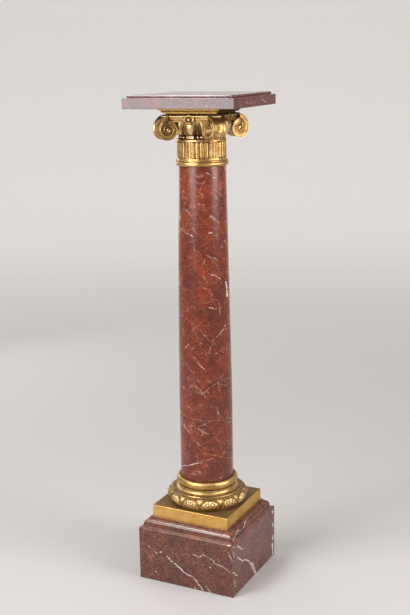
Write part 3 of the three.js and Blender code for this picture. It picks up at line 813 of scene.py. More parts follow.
def leaf_relief(azimuth, share):
    """Upright acanthus leaf in an arch over the torus, with a small dart between two arches."""
    across = azimuth / (FULL_TURN / LEAF_COUNT / 2)
    side = np.abs(across)
    arch_top = 0.74
    width = 0.94 * np.sqrt(np.clip(1 - (np.clip(share, 0, arch_top) / arch_top) ** 2.4, 0, 1))
    inside = smoothstep(0.0, 0.1, width - side) * smoothstep(arch_top, arch_top - 0.04, share)
    rim = bell(side - width, 0.06) * smoothstep(arch_top + 0.03, arch_top - 0.02, share)
    crown = bell(share - arch_top, 0.028) * smoothstep(0.45, 0.2, side)
    # Lobes fan out from the foot of the leaf and are cut across into curling tips
    fan = np.arctan2(side * 1.25, share + 0.18)
    reach = np.hypot(side * 1.25, share + 0.18)
    lobes = np.cos(17 * fan)
    curls = np.cos(FULL_TURN * (7.0 * reach - 1.2 * fan))
    rib = bell(side, 0.06)
    leaf = 0.8 + 0.45 * lobes + 0.65 * curls * smoothstep(0.05, 0.2, side) + 0.5 * rib
    leaf = leaf * smoothstep(0.0, 0.12, share)
    dart = smoothstep(0.0, 0.06, (share - 0.44) * 0.75 - (1 - side)) \
        * smoothstep(0.9, 0.84, share)
    grooves = 0.75 + 0.25 * np.cos(FULL_TURN * (9 * share + 5 * (1 - side)))
    height = inside * leaf + 0.9 * np.maximum(rim, crown) + 1.1 * dart * grooves * (1 - inside)
    edge = np.sin(math.pi * np.clip(share, 0, 1)) ** 0.4
    # Low ground is painted with patina and shade, raised leaf with a worn painted highlight
    patina_and_shade = np.clip(0.7 - 0.8 * height, -0.7, 1) * smoothstep(0.95, 0.8, share)
    return height * edge, patina_and_shade


def make_base_leaves(tree, material):
    crest = PLINTH_HALF - LEAF_TORUS_INSET - LEAF_RISE - LEAF_VEIN_RISE
    carved = torus_section(crest, LEAF_TORUS_BULGE, LEAF_TORUS_FOOT, LEAF_TORUS_HEIGHT, 46)
    bore = crest - LEAF_TORUS_BULGE - LEAF_TORUS_WALL
    bay = carved_bay("leaf_bay", carved, bore, LEAF_COUNT, 56, leaf_relief)
    copied_round("bronze_base_leaf_torus", bay, tree, LEAF_COUNT, 0.0, material,
                 "bronze_base_ring")


def make_base_mouldings(material):
    foot = PLINTH_HALF - RING_FOOT_INSET
    fillet = PLINTH_HALF - RING_FILLET_INSET
    neck = SHAFT_FOOT_RADIUS + SCOTIA_NECK_OVERHANG
    lip = fillet - SCOTIA_LIP
    upper = SHAFT_FOOT_RADIUS + UPPER_TORUS_OVERHANG
    # The leaf torus hides the step between the foot and the fillet
    rows = [[RING_BORE, RING_FOOT], [foot, RING_FOOT], [foot, LEAF_TORUS_FOOT + 2]]
    rows += [[fillet, LEAF_TORUS_FOOT + 4], [fillet, SCOTIA_FOOT - RING_CHAMFER],
             [fillet - RING_CHAMFER, SCOTIA_FOOT]]
    rows += arc(lip, SCOTIA_FOOT + SCOTIA_HOLLOW_HEIGHT, lip - neck, SCOTIA_HOLLOW_HEIGHT,
                -90, -180, 12)
    rows += [[neck, UPPER_TORUS_FOOT - 1.4], [neck + NECK_FILLET, UPPER_TORUS_FOOT - 1.1],
             [neck + NECK_FILLET, UPPER_TORUS_FOOT]]
    rows += torus_section(upper, UPPER_TORUS_BULGE, UPPER_TORUS_FOOT, UPPER_TORUS_HEIGHT, 24)
    rows += [[RING_BORE, UPPER_TORUS_FOOT + UPPER_TORUS_HEIGHT]]
    piece = turned("bronze_base_mouldings", rows)
    hand_in(piece, "bronze_base_ring", material, TURNED_CREASE)


# Bronze neck collar

def make_collar_mouldings(material):
    grooved = SHAFT_TOP_RADIUS + GROOVE_OVERHANG
    flared = SHAFT_TOP_RADIUS + FLARE_OVERHANG
    drum = SHAFT_TOP_RADIUS + DRUM_OVERHANG
    groove_z = COLLAR_FOOT + ASTRAGAL_HEIGHT
    flare_z = groove_z + GROOVE_HEIGHT
    rows = torus_section(SHAFT_TOP_RADIUS + ASTRAGAL_OVERHANG, ASTRAGAL_BULGE, COLLAR_FOOT,
                         ASTRAGAL_HEIGHT, 18)
    rows += [[grooved, groove_z], [grooved, flare_z], [flared, flare_z],
             [flared, flare_z + FLARE_LIP_HEIGHT]]
    rows += arc(flared, DRUM_FOOT, drum - flared, DRUM_FOOT - flare_z - FLARE_LIP_HEIGHT,
                -90, 0, 6)[1:]
    rows += [[drum - FLUTE_DEPTH - 1, DRUM_FOOT + 1.4], [drum - FLUTE_DEPTH - 1, DRUM_TOP - 1]]
    rows += [[drum, DRUM_TOP], [drum + DRUM_BAND_OUT, DRUM_TOP + 0.6],
             [drum + DRUM_BAND_OUT, DRUM_TOP + 2.2],
             [drum - 0.4, DRUM_TOP + 2.8], [drum - 0.4, BEAD_FOOT],
             [CASTING_BORE, BEAD_FOOT], [CASTING_BORE, COLLAR_FOOT]]
    piece = turned("bronze_neck_mouldings", rows)
    hand_in(piece, "bronze_neck_collar", material, TURNED_CREASE)


def drum_relief(azimuth, share):
    """A chased leaf panel between convex ribs with rounded ends, which stop short of the edges."""
    side = np.abs(azimuth)
    up = share * DRUM_HEIGHT
    panel = smoothstep(0.0, math.radians(1.2), PANEL_HALF_ANGLE - side)
    across = side / PANEL_HALF_ANGLE
    wave = np.cos(FULL_TURN * (PANEL_SCALLOPS * share - 1.1 * across))
    crown = DRUM_HEIGHT * (1.05 - 0.12 * across ** 2) + 0.6 * np.cos(6 * math.pi * across)
    leaf = smoothstep(0.0, 1.4, crown - up)
    eyes = smoothstep(0.2, 1.0, -wave) * bell(across - 0.68, 0.14)
    chased = -0.4 + 0.5 * bell(across, 0.12) - 0.3 * bell(across - 0.3, 0.1) \
        + 0.16 * wave * smoothstep(0.3, 0.6, across) - 0.4 * eyes
    bay = FULL_TURN / COLLAR_BAYS
    pitch = (bay - 2 * PANEL_HALF_ANGLE) / RIBS_PER_BAY
    place = (side - PANEL_HALF_ANGLE) / pitch
    rib = np.abs(place - np.floor(place) - 0.5) * 2
    half = pitch / 2 * (SHAFT_TOP_RADIUS + DRUM_OVERHANG)
    end = np.minimum(up - RIB_END_GAP, DRUM_HEIGHT - RIB_END_GAP - up)
    rounding = half * 0.85
    corner = np.clip((rounding - end) / rounding, 0, 1)
    away = np.sqrt(rib ** 2 + 0.7 * corner ** 2)
    reed = FLUTE_DEPTH * (np.sqrt(1 - np.clip(away, 0, 1) ** 2) - 1)
    height = np.where(side < PANEL_HALF_ANGLE, -FLUTE_DEPTH + (FLUTE_DEPTH + chased)
                      * np.minimum(panel, leaf), reed)
    ends = smoothstep(0.0, 1.4, up) * smoothstep(0.0, 1.4, DRUM_HEIGHT - up)
    height *= ends
    # Grooves and panels are painted with patina and shade
    patina_and_shade = np.clip(-height / FLUTE_DEPTH * 1.9 - 0.1, 0.1, 1) + 0.2 * (side < PANEL_HALF_ANGLE)
    return height, patina_and_shade


def make_drum(tree, material):
    radius = SHAFT_TOP_RADIUS + DRUM_OVERHANG
    carved = [[radius, z] for z in np.linspace(DRUM_FOOT, DRUM_TOP, 60)]
    bay = carved_bay("drum_bay", carved, radius - DRUM_WALL, COLLAR_BAYS, 110, drum_relief)
    copied_round("bronze_neck_drum", bay, tree, COLLAR_BAYS, COLLAR_TURN, material,
                 "bronze_neck_collar")


def bead_relief(azimuth, share):
    """A long double-lined reel over each leaf panel, and three beads between two reels."""
    side = np.abs(azimuth)
    radius = SHAFT_TOP_RADIUS - BEAD_ROW_INSET
    up = (share - 0.5) * BEAD_ROW_HEIGHT
    bay = FULL_TURN / COLLAR_BAYS
    from_middle = bay / 2 - side
    nearest = from_middle - np.round(from_middle / BEAD_PITCH) * BEAD_PITCH
    beads = side > REEL_HALF_ANGLE + math.radians(1.5)
    size = BEAD_PITCH * radius / 2 * 1.02
    away = np.sqrt((nearest * radius) ** 2 + up ** 2) / size
    bead = BEAD_SINK * np.sqrt(np.clip(1 - away ** 2, 0, 1))
    end = smoothstep(0.0, math.radians(1.6), REEL_HALF_ANGLE - side)
    bar = np.sqrt(np.clip(1 - (up / (BEAD_ROW_HEIGHT * 0.48)) ** 2, 0, 1)) * BEAD_SINK
    reel = (bar - bell(up, 0.6)) * end
    height = np.where(beads, bead, reel) - BEAD_SINK
    # Sunk parts are painted with patina and shade, the beads' crowns with a worn painted highlight
    patina_and_shade = np.clip(-height / BEAD_SINK * 1.8 - 0.7, -0.7, 1)
    return height, patina_and_shade


def make_bead_row(tree, material):
    radius = SHAFT_TOP_RADIUS - BEAD_ROW_INSET + 0.8
    carved = [[radius, z] for z in np.linspace(BEAD_FOOT - 0.2, BEAD_FOOT + BEAD_ROW_HEIGHT, 22)]
    bay = carved_bay("bead_bay", carved, CASTING_BORE, COLLAR_BAYS, 120, bead_relief)
    copied_round("bronze_bead_and_reel", bay, tree, COLLAR_BAYS, COLLAR_TURN, material,
                 "bronze_neck_collar")


# Bronze capital

def egg_relief(azimuth, share):
    """An egg in its shell, with half a dart on each side."""
    across = np.abs(azimuth) / (FULL_TURN / EGG_COUNT / 2)
    reach = 0.6 * np.sqrt(np.clip(share * 1.15, 0, 1))
    egg = np.sqrt(np.clip(1 - (across / np.maximum(reach, 0.02)) ** 2, 0, 1))
    shell = bell(across - reach - 0.14, 0.055)
    dart_half = 0.02 + 0.13 * smoothstep(0.75, 0.05, share)
    dart = smoothstep(0.0, 0.06, dart_half - (1 - across)) * smoothstep(0.95, 0.8, share)
    height = -EGG_GROOVE_DEPTH + (EGG_GROOVE_DEPTH + EGG_RISE) * egg ** 0.8
    height = np.maximum(height, -EGG_GROOVE_DEPTH + (EGG_GROOVE_DEPTH + 0.9) * shell)
    height = np.maximum(height, -EGG_GROOVE_DEPTH + (EGG_GROOVE_DEPTH - 0.2) * dart)
    swell = np.sin(math.pi * np.clip(share * 0.93 + 0.03, 0, 1)) ** 0.6
    # The grooves are painted with patina and shade, the egg's crown with a worn painted highlight
    patina_and_shade = np.clip((0.4 - height) / (EGG_GROOVE_DEPTH + 0.4) * 1.3 - 0.3, -0.5, 1)
    return height * swell, patina_and_shade * swell


def make_echinus(tree, material):
    foot = SHAFT_TOP_RADIUS - ECHINUS_FOOT_INSET
    carved = arc(foot, CANALIS_FOOT, ECHINUS_SPREAD, ECHINUS_HEIGHT, -90, 0, 40)
    bay = carved_bay("egg_bay", carved, CASTING_BORE, EGG_COUNT, 48, egg_relief)
    copied_round("bronze_echinus_eggs", bay, tree, EGG_COUNT, HEAD_TURN, material,
                 "bronze_capital")


def hollowed_plan(plan, inset):
    """Four hollowed sides with cut corners, moved inwards by an inset."""
    mid, corner, half_width = plan
    across = (corner - half_width) / math.sqrt(2)
    out = (corner + half_width) / math.sqrt(2)
    side = []
    for share in np.linspace(-1, 1, PLAN_STEPS + 1):
        point = np.array([across * share, -(mid + (out - mid) * share ** 2)])
        slope = np.array([across, -2 * (out - mid) * share])
        outward = np.array([slope[1], -slope[0]]) / np.linalg.norm(slope)
        side.append(point - outward * inset)
    side = np.array(side)
    loops = []
    for turn in np.arange(4) * math.pi / 2 + HEAD_TURN:
        spin = np.array([[math.cos(turn), -math.sin(turn)], [math.sin(turn), math.cos(turn)]])
        loops.append(side @ spin.T)
    return np.concatenate(loops)


def hollow_sided(name, plan, rows, material):
    """A closed band on the hollowed plan from rows of [inset, z, patina and painted shade], from
    below up.
    """
    loops, patina_and_shade_values = [], []
    for inset, z, patina_and_shade in rows:
        loop = hollowed_plan(plan, inset)
        loops.append(np.column_stack([loop, np.full(len(loop), z)]))
        patina_and_shade_values += [patina_and_shade] * len(loop)
    piece = mesh_object(name, loops, tube_faces(len(loops), len(loops[0])), patina_and_shade_values)
    hand_in(piece, "bronze_capital", material, ROUND_CREASE)


def make_canalis(material):
    """The channel band below the abacus: a fine bead at its foot and a round ridge on top."""
    foot, top = CANALIS_FOOT - 0.4, ABACUS_FOOT
    # The third values paint the foot line in shade and the bead with a highlight
    rows = [[1.4, foot, 0.8]]
    rows += [[1.2 - 1.2 * math.sin(a), foot + 0.9 - 0.9 * math.cos(a), -0.2]
             for a in np.linspace(0.3, math.pi, 7)]
    rows += [[2.0, foot + 2.2, 0.6], [1.4, foot + 3.2, 0.2], [1.1, foot + 4.6, 0.25]]
    rows += [[1.6 - 1.6 * math.sin(a), top - 1.5 - 1.5 * math.cos(a), 0.0]
             for a in np.linspace(0, math.pi, 9)]
    rows += [[2.6, top + 0.1, 0.6]]
    hollow_sided("bronze_canalis", CANALIS_PLAN, rows, material)


def make_abacus(material):
    """The abacus: a thin line, a rounded band and a small cap."""
    foot, top = ABACUS_FOOT, RISER_FOOT
    # The third values paint the foot lines and cap in shade and the rounded band with a highlight
    rows = [[3.2, foot, 1.0], [1.4, foot + 0.1, 0.6], [1.4, foot + 1.2, 0.5],
            [2.4, foot + 1.5, 1.0]]
    middle, half = (foot + 1.6 + top - 1.2) / 2, (top - 1.2 - foot - 1.6) / 2
    rows += [[2.2 - 2.2 * math.cos(a), middle + half * math.sin(a), -0.35 + 0.2 * math.sin(a)]
             for a in np.linspace(-math.pi / 2, math.pi / 2, 9)]
    rows += [[2.8, top - 1.0, 1.0], [2.0, top - 0.8, 0.7], [2.0, top, 0.8]]
    hollow_sided("bronze_abacus", ABACUS_PLAN, rows, material)


def head_shade_and_tarnish(x, y, z, bright_from):
    """Tarnishing and painted shade of the plates on the head: light on their front side above a
    level, and dark with painted shade on their other sides and below that level.
    """
    across = x * math.cos(HEAD_TURN) + y * math.sin(HEAD_TURN)
    back = y * math.cos(HEAD_TURN) - x * math.sin(HEAD_TURN)
    in_front = back < 1 - abs(across)
    return HEAD_FRONT_TARNISH if in_front and z >= bright_from else HEAD_SHADE_AND_TARNISH


def make_riser(material):
    """The riser on the abacus, painted dark as shade under the plate, with a fillet that carries
    the plate.
    """
    half = PLATE_HALF - PLATE_STEP - RISER_INSET
    fillet_foot = PLATE_FOOT - BED_GAP - RISER_FILLET
    fillet = half + RISER_FILLET_STEP
    rows = [[half, RISER_FOOT - 0.5], [half, fillet_foot - 0.6], [fillet, fillet_foot],
            [fillet, PLATE_FOOT - BED_GAP]]
    piece = squared("bronze_riser", rows, HEAD_TURN,
                    lambda x, y, z: head_shade_and_tarnish(x, y, z, fillet_foot - 0.1))
    hand_in(piece, "bronze_capital", material, FLAT_CREASE)


def spiral(shape, angle):
    """Radius of a spiral that sweeps in quickly from its top and then shrinks steadily."""
    start, shrink, swoop = shape
    return start - shrink * angle / FULL_TURN + swoop * np.exp(-angle / SWOOP_ANGLE)


def volute_rise(radius, angle, edge):
    """How far a volute's face stands out, and its patina, with painted shade in the channel and a
    painted highlight on the ridge, lip and eye: eye, coiled ridge, deep channel inside the ridge,
    shallow band outside it, and raised edge."""
    ridge = np.zeros_like(radius)
    for turns, width in ((0, 1.4), (1, 1.1)):
        line = spiral(VOLUTE_RIDGE, angle + turns * FULL_TURN)
        ridge = np.maximum(ridge, bell(radius - line, width))
    ridge = ridge * smoothstep(VOLUTE_EYE_RADIUS * 0.6, VOLUTE_EYE_RADIUS * 1.3, radius)
    outer = spiral(VOLUTE_RIDGE, angle)
    inside = smoothstep(outer + 0.6, outer - 0.6, radius)
    floor = -VOLUTE_HOLLOW * (VOLUTE_BAND_SHARE + (1 - VOLUTE_BAND_SHARE) * inside)
    floor = floor * smoothstep(VOLUTE_EYE_RADIUS, VOLUTE_EYE_RADIUS + 2.0, radius)
    rise = floor + (RIDGE_RISE - floor) * ridge
    lip = smoothstep(edge - 2.0, edge - 0.6, radius)
    rise = rise + (VOLUTE_HOLLOW * VOLUTE_BAND_SHARE + VOLUTE_LIP_RISE) * lip
    dome = VOLUTE_EYE_RISE * np.sqrt(np.clip(1 - (radius / VOLUTE_EYE_RADIUS) ** 2, 0, 1))
    # The channel is painted in shade and the ridge, lip and eye are painted with a highlight
    patina_shade_and_gleam = np.clip(0.44 + 0.26 * inside - 2.2 * ridge - 0.5 * lip, -1, 1)
    patina_shade_and_gleam = np.where(radius < VOLUTE_EYE_RADIUS, -0.2, patina_shade_and_gleam)
    return rise + dome, patina_shade_and_gleam


def volute_place(side, angle, radius, rise):
    """Points on a face of the corner volute along +X; side is 1 or -1."""
    out = radius * np.sin(angle)
    x = VOLUTE_EYE_OUT + out * math.cos(VOLUTE_SPLAY) + rise * math.sin(VOLUTE_SPLAY)
    y = VOLUTE_EYE_SIDE - out * math.sin(VOLUTE_SPLAY) + rise * math.cos(VOLUTE_SPLAY)
    return np.stack([x, side * y, radius * np.cos(angle)], -1)


def make_volutes(tree, material):
    """Four corner volutes: two spiral faces each, splayed apart, and the rim between them."""
    columns, rings, across = 144, 50, 22
    angle = -np.arange(columns) * FULL_TURN / columns
    angle = np.where(angle < 0, angle + FULL_TURN, 0.0)[None, :]
    edge = spiral(VOLUTE_EDGE, angle)
    share = np.linspace(0.02, 1, rings)[:, None]
    radius = share * edge
    rise, face_patina_and_shade = volute_rise(radius, angle, edge)
    angles = angle + 0 * share
    near = volute_place(1, angles, radius, rise)
    far = volute_place(-1, angles, radius, rise)[::-1]
    # Rim between the faces: raised edges, a sunk middle painted with patina and shade, and a row
    # of husks along the middle below
    t = np.linspace(1, -1, across + 2)[1:-1, None]
    low = bell(np.degrees(angle) - 120, 50)
    husks = 1.9 * bell(t, 0.26) * (0.55 + 0.45 * np.cos(14 * angle + 5 * np.abs(t))) * low
    depth = RIM_HOLLOW * smoothstep(1.0, 0.72, np.abs(t)) - husks - 0.4 * bell(t, 0.5)
    rim_radius = edge - depth
    rim = volute_place(1, angle + 0 * t, rim_radius, 0 * rim_radius)
    rim[..., 1] *= t
    grid = np.concatenate([near, rim, far])
    patina_and_shade_values = np.concatenate([face_patina_and_shade, depth / RIM_HOLLOW * 0.45 + 0 * angle,
                              face_patina_and_shade[::-1]])
    grid[..., 2] += ABACUS_FOOT - VOLUTE_EYE_BELOW_ABACUS
    volute = mesh_object("volute", grid, tube_faces(len(grid), columns), patina_and_shade_values)
    copied_round("bronze_corner_volutes", volute, tree, 4, math.pi / 4 + HEAD_TURN, material,
                 "bronze_capital", FINE_WELD)


def make_flowers(tree, material):
    """A flower of four round petals with a button, at the middle of each side."""
    columns, rings = 96, 20
    angle = np.arange(columns) * FULL_TURN / columns
    share = np.linspace(0.03, 1, rings)[:, None]
    petal = np.abs(np.cos(FLOWER_PETALS * angle / 2))[None, :]
    reach = 0.7 + 0.3 * np.sqrt(petal)
    front = FLOWER_DEPTH * (1 - 0.25 * share ** 2)
    cleft = (1 - smoothstep(0.0, 0.45, petal)) * smoothstep(0.3, 0.5, share)
    button = np.sqrt(np.clip(1 - (share / 0.27) ** 2, 0, 1))
    cup = PETAL_CUP * bell(share - 0.4, 0.1)
    out = front - PETAL_CLEFT * cleft - cup + button - 0.9 * smoothstep(0.85, 1.0, share)
    out = np.minimum(out, FLOWER_DEPTH)
    y = np.sin(angle) * FLOWER_WIDTH / 2 * reach * share
    z = np.cos(angle) * FLOWER_HEIGHT / 2 * reach * share
    centre = CANALIS_FOOT + FLOWER_ABOVE_CANALIS_FOOT
    face = np.stack([FLOWER_BASE_DISTANCE + out, y, z + centre], -1)
    back = np.stack([np.full((1, columns), FLOWER_BASE_DISTANCE), y[-1:], z[-1:] + centre], -1)
    grid = np.concatenate([face, back])
    # The flower is painted in shade all over, more in its clefts, cups and rim
    rim = smoothstep(0.84, 0.96, share)
    patina_and_shade = np.clip(np.maximum(np.maximum(cleft, cup / PETAL_CUP) * 1.2, rim) + 0.5, 0, 1)
    patina_and_shade_values = np.concatenate([patina_and_shade, np.ones((1, columns))])
    faces = [tuple(reversed(corners)) for corners in tube_faces(len(grid), columns)]
    flower = mesh_object("flower", grid, faces, patina_and_shade_values)
    copied_round("bronze_side_flowers", flower, tree, 4, HEAD_TURN, material, "bronze_capital",
                 FINE_WELD)


def make_capital_plate(material):
    lower = PLATE_HALF - PLATE_STEP
    step = PLATE_FOOT + PLATE_STEP_HEIGHT
    rows = [[lower, PLATE_FOOT], [lower, step], [PLATE_HALF - 0.5, step], [PLATE_HALF, step + 0.5]]
    rows += eased(PLATE_HALF, step + PLATE_HEIGHT, PLATE_EASE, 0, 90)
    # The plate is painted in shade on its other sides and along its foot
    piece = squared("bronze_capital_plate_stepped", rows, HEAD_TURN,
                    lambda x, y, z: head_shade_and_tarnish(x, y, z, PLATE_FOOT + 0.5))
    hand_in(piece, "bronze_capital_plate", material, FLAT_CREASE)


# Studio

BACKDROP_HEADING = (-math.sin(CAMERA_AZIMUTH), math.cos(CAMERA_AZIMUTH), 0.0)
BACKDROP_GLOW = 0.12
ROOM_GLOW = 0.07
SHADED_NEAR_PAPER = "#b5b0ac"
LIT_FAR_PAPER = "#e2deda"
DIM_PAPER = "#aaa7a4"
PAPER_SHADES_FROM = 0.5
PAPER_SHADES_TO = 4.8
AIR_COLOUR = "#fcfcfd"
AIR_GLOW = 0.8
FLOOR_RADIUS = 3800
FLOOR_CURVE = 1400
WALL_LEVELS = (2600, 4200)
FLOOR_FACETS = 96
DAYLIGHT = (0.95, 0.97, 1.0)
WARM_GLOW = (1, 0.985, 0.97, 1)

# Softboxes: azimuth in degrees, distance, height, width and tallness in mm, watts, tilt in degrees
SOFTBOXES = {
    "left_softbox": (-19, 1700, 1290, 900, 1020, 24.5, 0),
    "right_softbox": (89, 1700, 1530, 920, 1560, 36, 8),
    "upper_left_softbox": (-37, 1900, 2930, 1060, 560, 58, 40),
    "back_softbox": (238, 2300, 1250, 1000, 1500, 9, 0),
}


def make_floor():
    """Pale floor that curves up into a round wall far outside the lights."""
    rows = [[r, 0.0] for r in (0.02, 400, 900, 1600, 2600, FLOOR_RADIUS)]
    rows += arc(FLOOR_RADIUS, FLOOR_CURVE, FLOOR_CURVE, FLOOR_CURVE, -90, 0, 16)[1:]
    rows += [[FLOOR_RADIUS + FLOOR_CURVE, level] for level in WALL_LEVELS]
    rows = np.array(rows)
    azimuths = np.arange(FLOOR_FACETS) * FULL_TURN / FLOOR_FACETS
    points = np.stack([rows[:, :1] * np.sin(azimuths), rows[:, :1] * np.cos(azimuths),
                       rows[:, 1:] + 0 * azimuths], 2)
    floor = mesh_object("studio_floor", points,
                        grid_faces(len(rows), FLOOR_FACETS, wrap_columns=True))
    shade(floor, CARVED_CREASE)
    material, tree = new_material("matt_pale_paper")
    where = node(tree, "TexCoord", None, "Object")
    away = node(tree, "VectorMath", {0: where}, "Value", operation="LENGTH")
    # The paper is painted darker near the column as shade and paler far off as light
    far = node(tree, "MapRange", {"Value": away, "From Min": PAPER_SHADES_FROM,
                                  "From Max": PAPER_SHADES_TO}, interpolation_type="SMOOTHSTEP")
    paper = node(tree, "Mix",
                 {0: far, 6: linear(SHADED_NEAR_PAPER), 7: linear(LIT_FAR_PAPER)}, 2, data_type="RGBA")
    # The room is dimmer away from the lit backdrop, so the gilding has something dark to mirror
    heading = node(tree, "VectorMath", {0: where}, operation="NORMALIZE")
    facing = node(tree, "VectorMath", {0: heading, 1: BACKDROP_HEADING}, "Value",
                  operation="DOT_PRODUCT")
    beside = node(tree, "MapRange",
                  {"Value": facing, "From Min": 0.88, "From Max": 0.55},
                  interpolation_type="SMOOTHSTEP")
    dim = node(tree, "Math", {0: beside, 1: far}, operation="MULTIPLY")
    shown = node(tree, "Mix", {0: dim, 6: paper, 7: linear(DIM_PAPER)}, 2, data_type="RGBA")
    glow = node(tree, "MapRange", {"Value": beside, "To Min": BACKDROP_GLOW, "To Max": ROOM_GLOW})
    glowing = node(tree, "Math", {0: glow, 1: far}, operation="MULTIPLY")
    surface = node(tree, "BsdfPrincipled",
                   {"Base Color": shown, "Roughness": 0.85, "Specular IOR Level": 0.2,
                    "Emission Color": WARM_GLOW, "Emission Strength": glowing})
    node(tree, "OutputMaterial", {"Surface": surface})
    floor.data.materials.append(material)


def softbox(name, azimuth, distance, height, width, tallness, watts, tilt):
    """A soft lamp that faces the column's axis and looks down by its tilt."""
    data = bpy.data.lights.new(name, "AREA")
    data.shape = "RECTANGLE"
    data.size = width * MM
    data.size_y = tallness * MM
    data.energy = watts
    data.color = DAYLIGHT
    light = bpy.data.objects.new(name, data)
    turn = math.radians(azimuth)
    back = Vector((math.sin(turn), -math.cos(turn), 0))
    light.location = (back * distance + Vector((0, 0, height))) * MM
    aim = back + Vector((0, 0, math.tan(math.radians(tilt))))
    light.rotation_mode = "QUATERNION"
    light.rotation_quaternion = aim.to_track_quat("Z", "Y")
    light.visible_camera = False
    bpy.context.collection.objects.link(light)


def make_studio():
    make_floor()
    for name, settings in SOFTBOXES.items():
        softbox(name, *settings)
    world = bpy.data.worlds.new("studio_air")
    world.use_nodes = True
    air = world.node_tree.nodes["Background"].inputs
    air["Color"].default_value = linear(AIR_COLOUR)
    air["Strength"].default_value = AIR_GLOW
    scene = bpy.context.scene
    scene.world = world
    scene.view_settings.view_transform = "Standard"
    scene.view_settings.look = "None"


# Veins: the width in mm and the strength of each, then its points. A point on the shaft is
# degrees round from its show side and a height; on a side of the block it is X or Y and Z

SHAFT_PALE = (
    (1.0, 0.8, (8, 953), (32, 940)),
    (1.3, 0.7, (-80, 834), (-46, 823), (-24, 814)),
    (1.2, 0.9, (-46, 823), (-26, 815)),
    (3.6, 0.28, (18, 859), (38, 843)),
    (1.5, 0.6, (12, 821), (20, 821)),
    (1.2, 0.8, (43, 872), (46, 874)),
    (0.8, 0.4, (58, 842), (80, 842)),
    (0.8, 0.5, (-26, 785), (0, 772)),
    (0.8, 0.55, (-40, 769), (6, 752)),
    (0.8, 0.6, (6, 772), (38, 756)),
    (0.8, 0.4, (-8, 737), (8, 737)),
    (1.1, 0.9, (10, 731), (28, 724)),
    (0.8, 0.7, (28, 724), (40, 716)),
    (5.0, 0.9, (60, 704), (64, 673)),
    (1.0, 0.9, (10, 655), (26, 648)),
    (1.2, 0.7, (35, 662), (38, 633)),
    (0.9, 0.6, (8, 570), (36, 592)),
    (1.1, 0.9, (36, 592), (52, 608)),
    (1.0, 0.6, (-50, 557), (-38, 567)),
    (1.0, 0.6, (-32, 557), (-18, 567)),
    (1.4, 1.0, (24, 546), (26, 547)),
    (1.2, 0.8, (-8, 519), (-1, 511)),
    (1.0, 0.7, (-18, 469), (4, 440)),
    (1.0, 0.7, (-6, 457), (22, 475)),
    (0.7, 0.4, (-30, 431), (30, 418)),
    (1.0, 0.9, (23, 420), (28, 402)),
    (1.0, 0.9, (46, 390), (56, 389)),
    (1.0, 0.6, (-78, 263), (-58, 270)),
    (1.4, 1.0, (-58, 270), (-22, 285)),
    (1.0, 0.6, (-22, 285), (12, 297)),
    (1.3, 0.7, (104, 902), (122, 880), (151, 871)),
    (1.6, 0.9, (-168, 874), (-141, 858), (-118, 861)),
    (1.1, 0.6, (112, 801), (149, 776)),
    (1.4, 0.8, (-129, 768), (-104, 751), (-97, 731)),
    (1.2, 0.7, (96, 688), (118, 702), (131, 699)),
    (2.2, 0.9, (158, 655), (172, 628)),
    (1.3, 0.7, (-150, 611), (-121, 590), (-100, 586)),
    (1.2, 0.6, (101, 542), (140, 521)),
    (1.5, 0.8, (-172, 498), (-146, 512)),
    (1.3, 0.8, (120, 433), (133, 401)),
    (1.1, 0.6, (-131, 402), (-104, 388)),
    (1.6, 0.9, (92, 305), (128, 322), (163, 318)),
    (1.4, 0.8, (-160, 291), (-119, 275)),
)
SHAFT_OCHRE = (
    (1.3, 0.8, (-80, 398), (-16, 391), (46, 386)),
    (1.2, 0.7, (-38, 359), (20, 358)),
    (1.7, 0.9, (-8, 312), (25, 303), (58, 287)),
)
BLOCK_FRONT_PALE = (
    (2.0, 1.0, (-47, 68), (-33.6, 55.7), (-24.6, 52.3), (5.6, 33.3), (18, 29.9), (44.8, 1.9)),
    (1.4, 0.75, (20.2, 87), (40.4, 84.8), (44.8, 92.6), (58.3, 88.1),
     (71.7, 83.7), (76.2, 76.9), (94.1, 73.6), (116.5, 60.1)),
    (2.0, 0.8, (-97, 85), (-93.5, 82)),
    (2.0, 0.8, (-77, 73.5), (-73, 71)),
    (2.0, 0.8, (-66, 75), (-61, 77)),
    (1.8, 0.8, (64, 65.5), (68, 63.5)),
    (1.8, 0.7, (-81, 25), (-76, 23)),
    (1.8, 0.8, (23, 5), (27, 3)),
    (1.6, 0.8, (51.6, 14.2), (65, 0.8)),
    (2.0, 0.6, (112, 108), (118, 96)),
)
BLOCK_RIGHT_PALE = (
    (3.0, 0.5, (-94, 117.3), (-80, 104), (-67, 94.9)),
    (1.8, 0.9, (-120.9, 63.5), (-96.3, 45.6)),
    (2.6, 0.9, (-94, 88.1), (-69.4, 68), (-53.7, 63.5), (-31.3, 50.1), (-13.4, 29.9)),
    (4.0, 0.6, (-22, 42), (-14, 33)),
    (8.0, 0.5, (-14, 33), (-5, 20)),
    (6.5, 0.5, (-5, 20), (1, 9)),
    (5.0, 0.6, (1, 9), (6.8, 1.9)),
    (2.6, 0.6, (-116, 112), (-113, 98)),
    (2.2, 0.6, (-112, 40), (-108, 24)),
    (4.0, 0.8, (109.8, 117.3), (111, 112)),
    (4.0, 0.8, (112, 84), (112, 78)),
    (4.5, 0.8, (112, 52), (112, 44)),
    (5.5, 0.9, (109.8, 29.9), (110, 5.3)),
)
BLOCK_BACK_PALE = (
    (1.8, 0.9, (88, 96), (41, 74), (22, 70), (-19, 38)),
    (2.4, 0.9, (-19, 38), (-46, 30), (-71, 4)),
    (1.6, 0.7, (-62, 110), (-94, 88)),
)
BLOCK_LEFT_PALE = (
    (1.8, 0.9, (78, 21), (40, 49), (12, 52), (-38, 88)),
    (1.6, 0.7, (-60, 32), (-93, 14)),
)
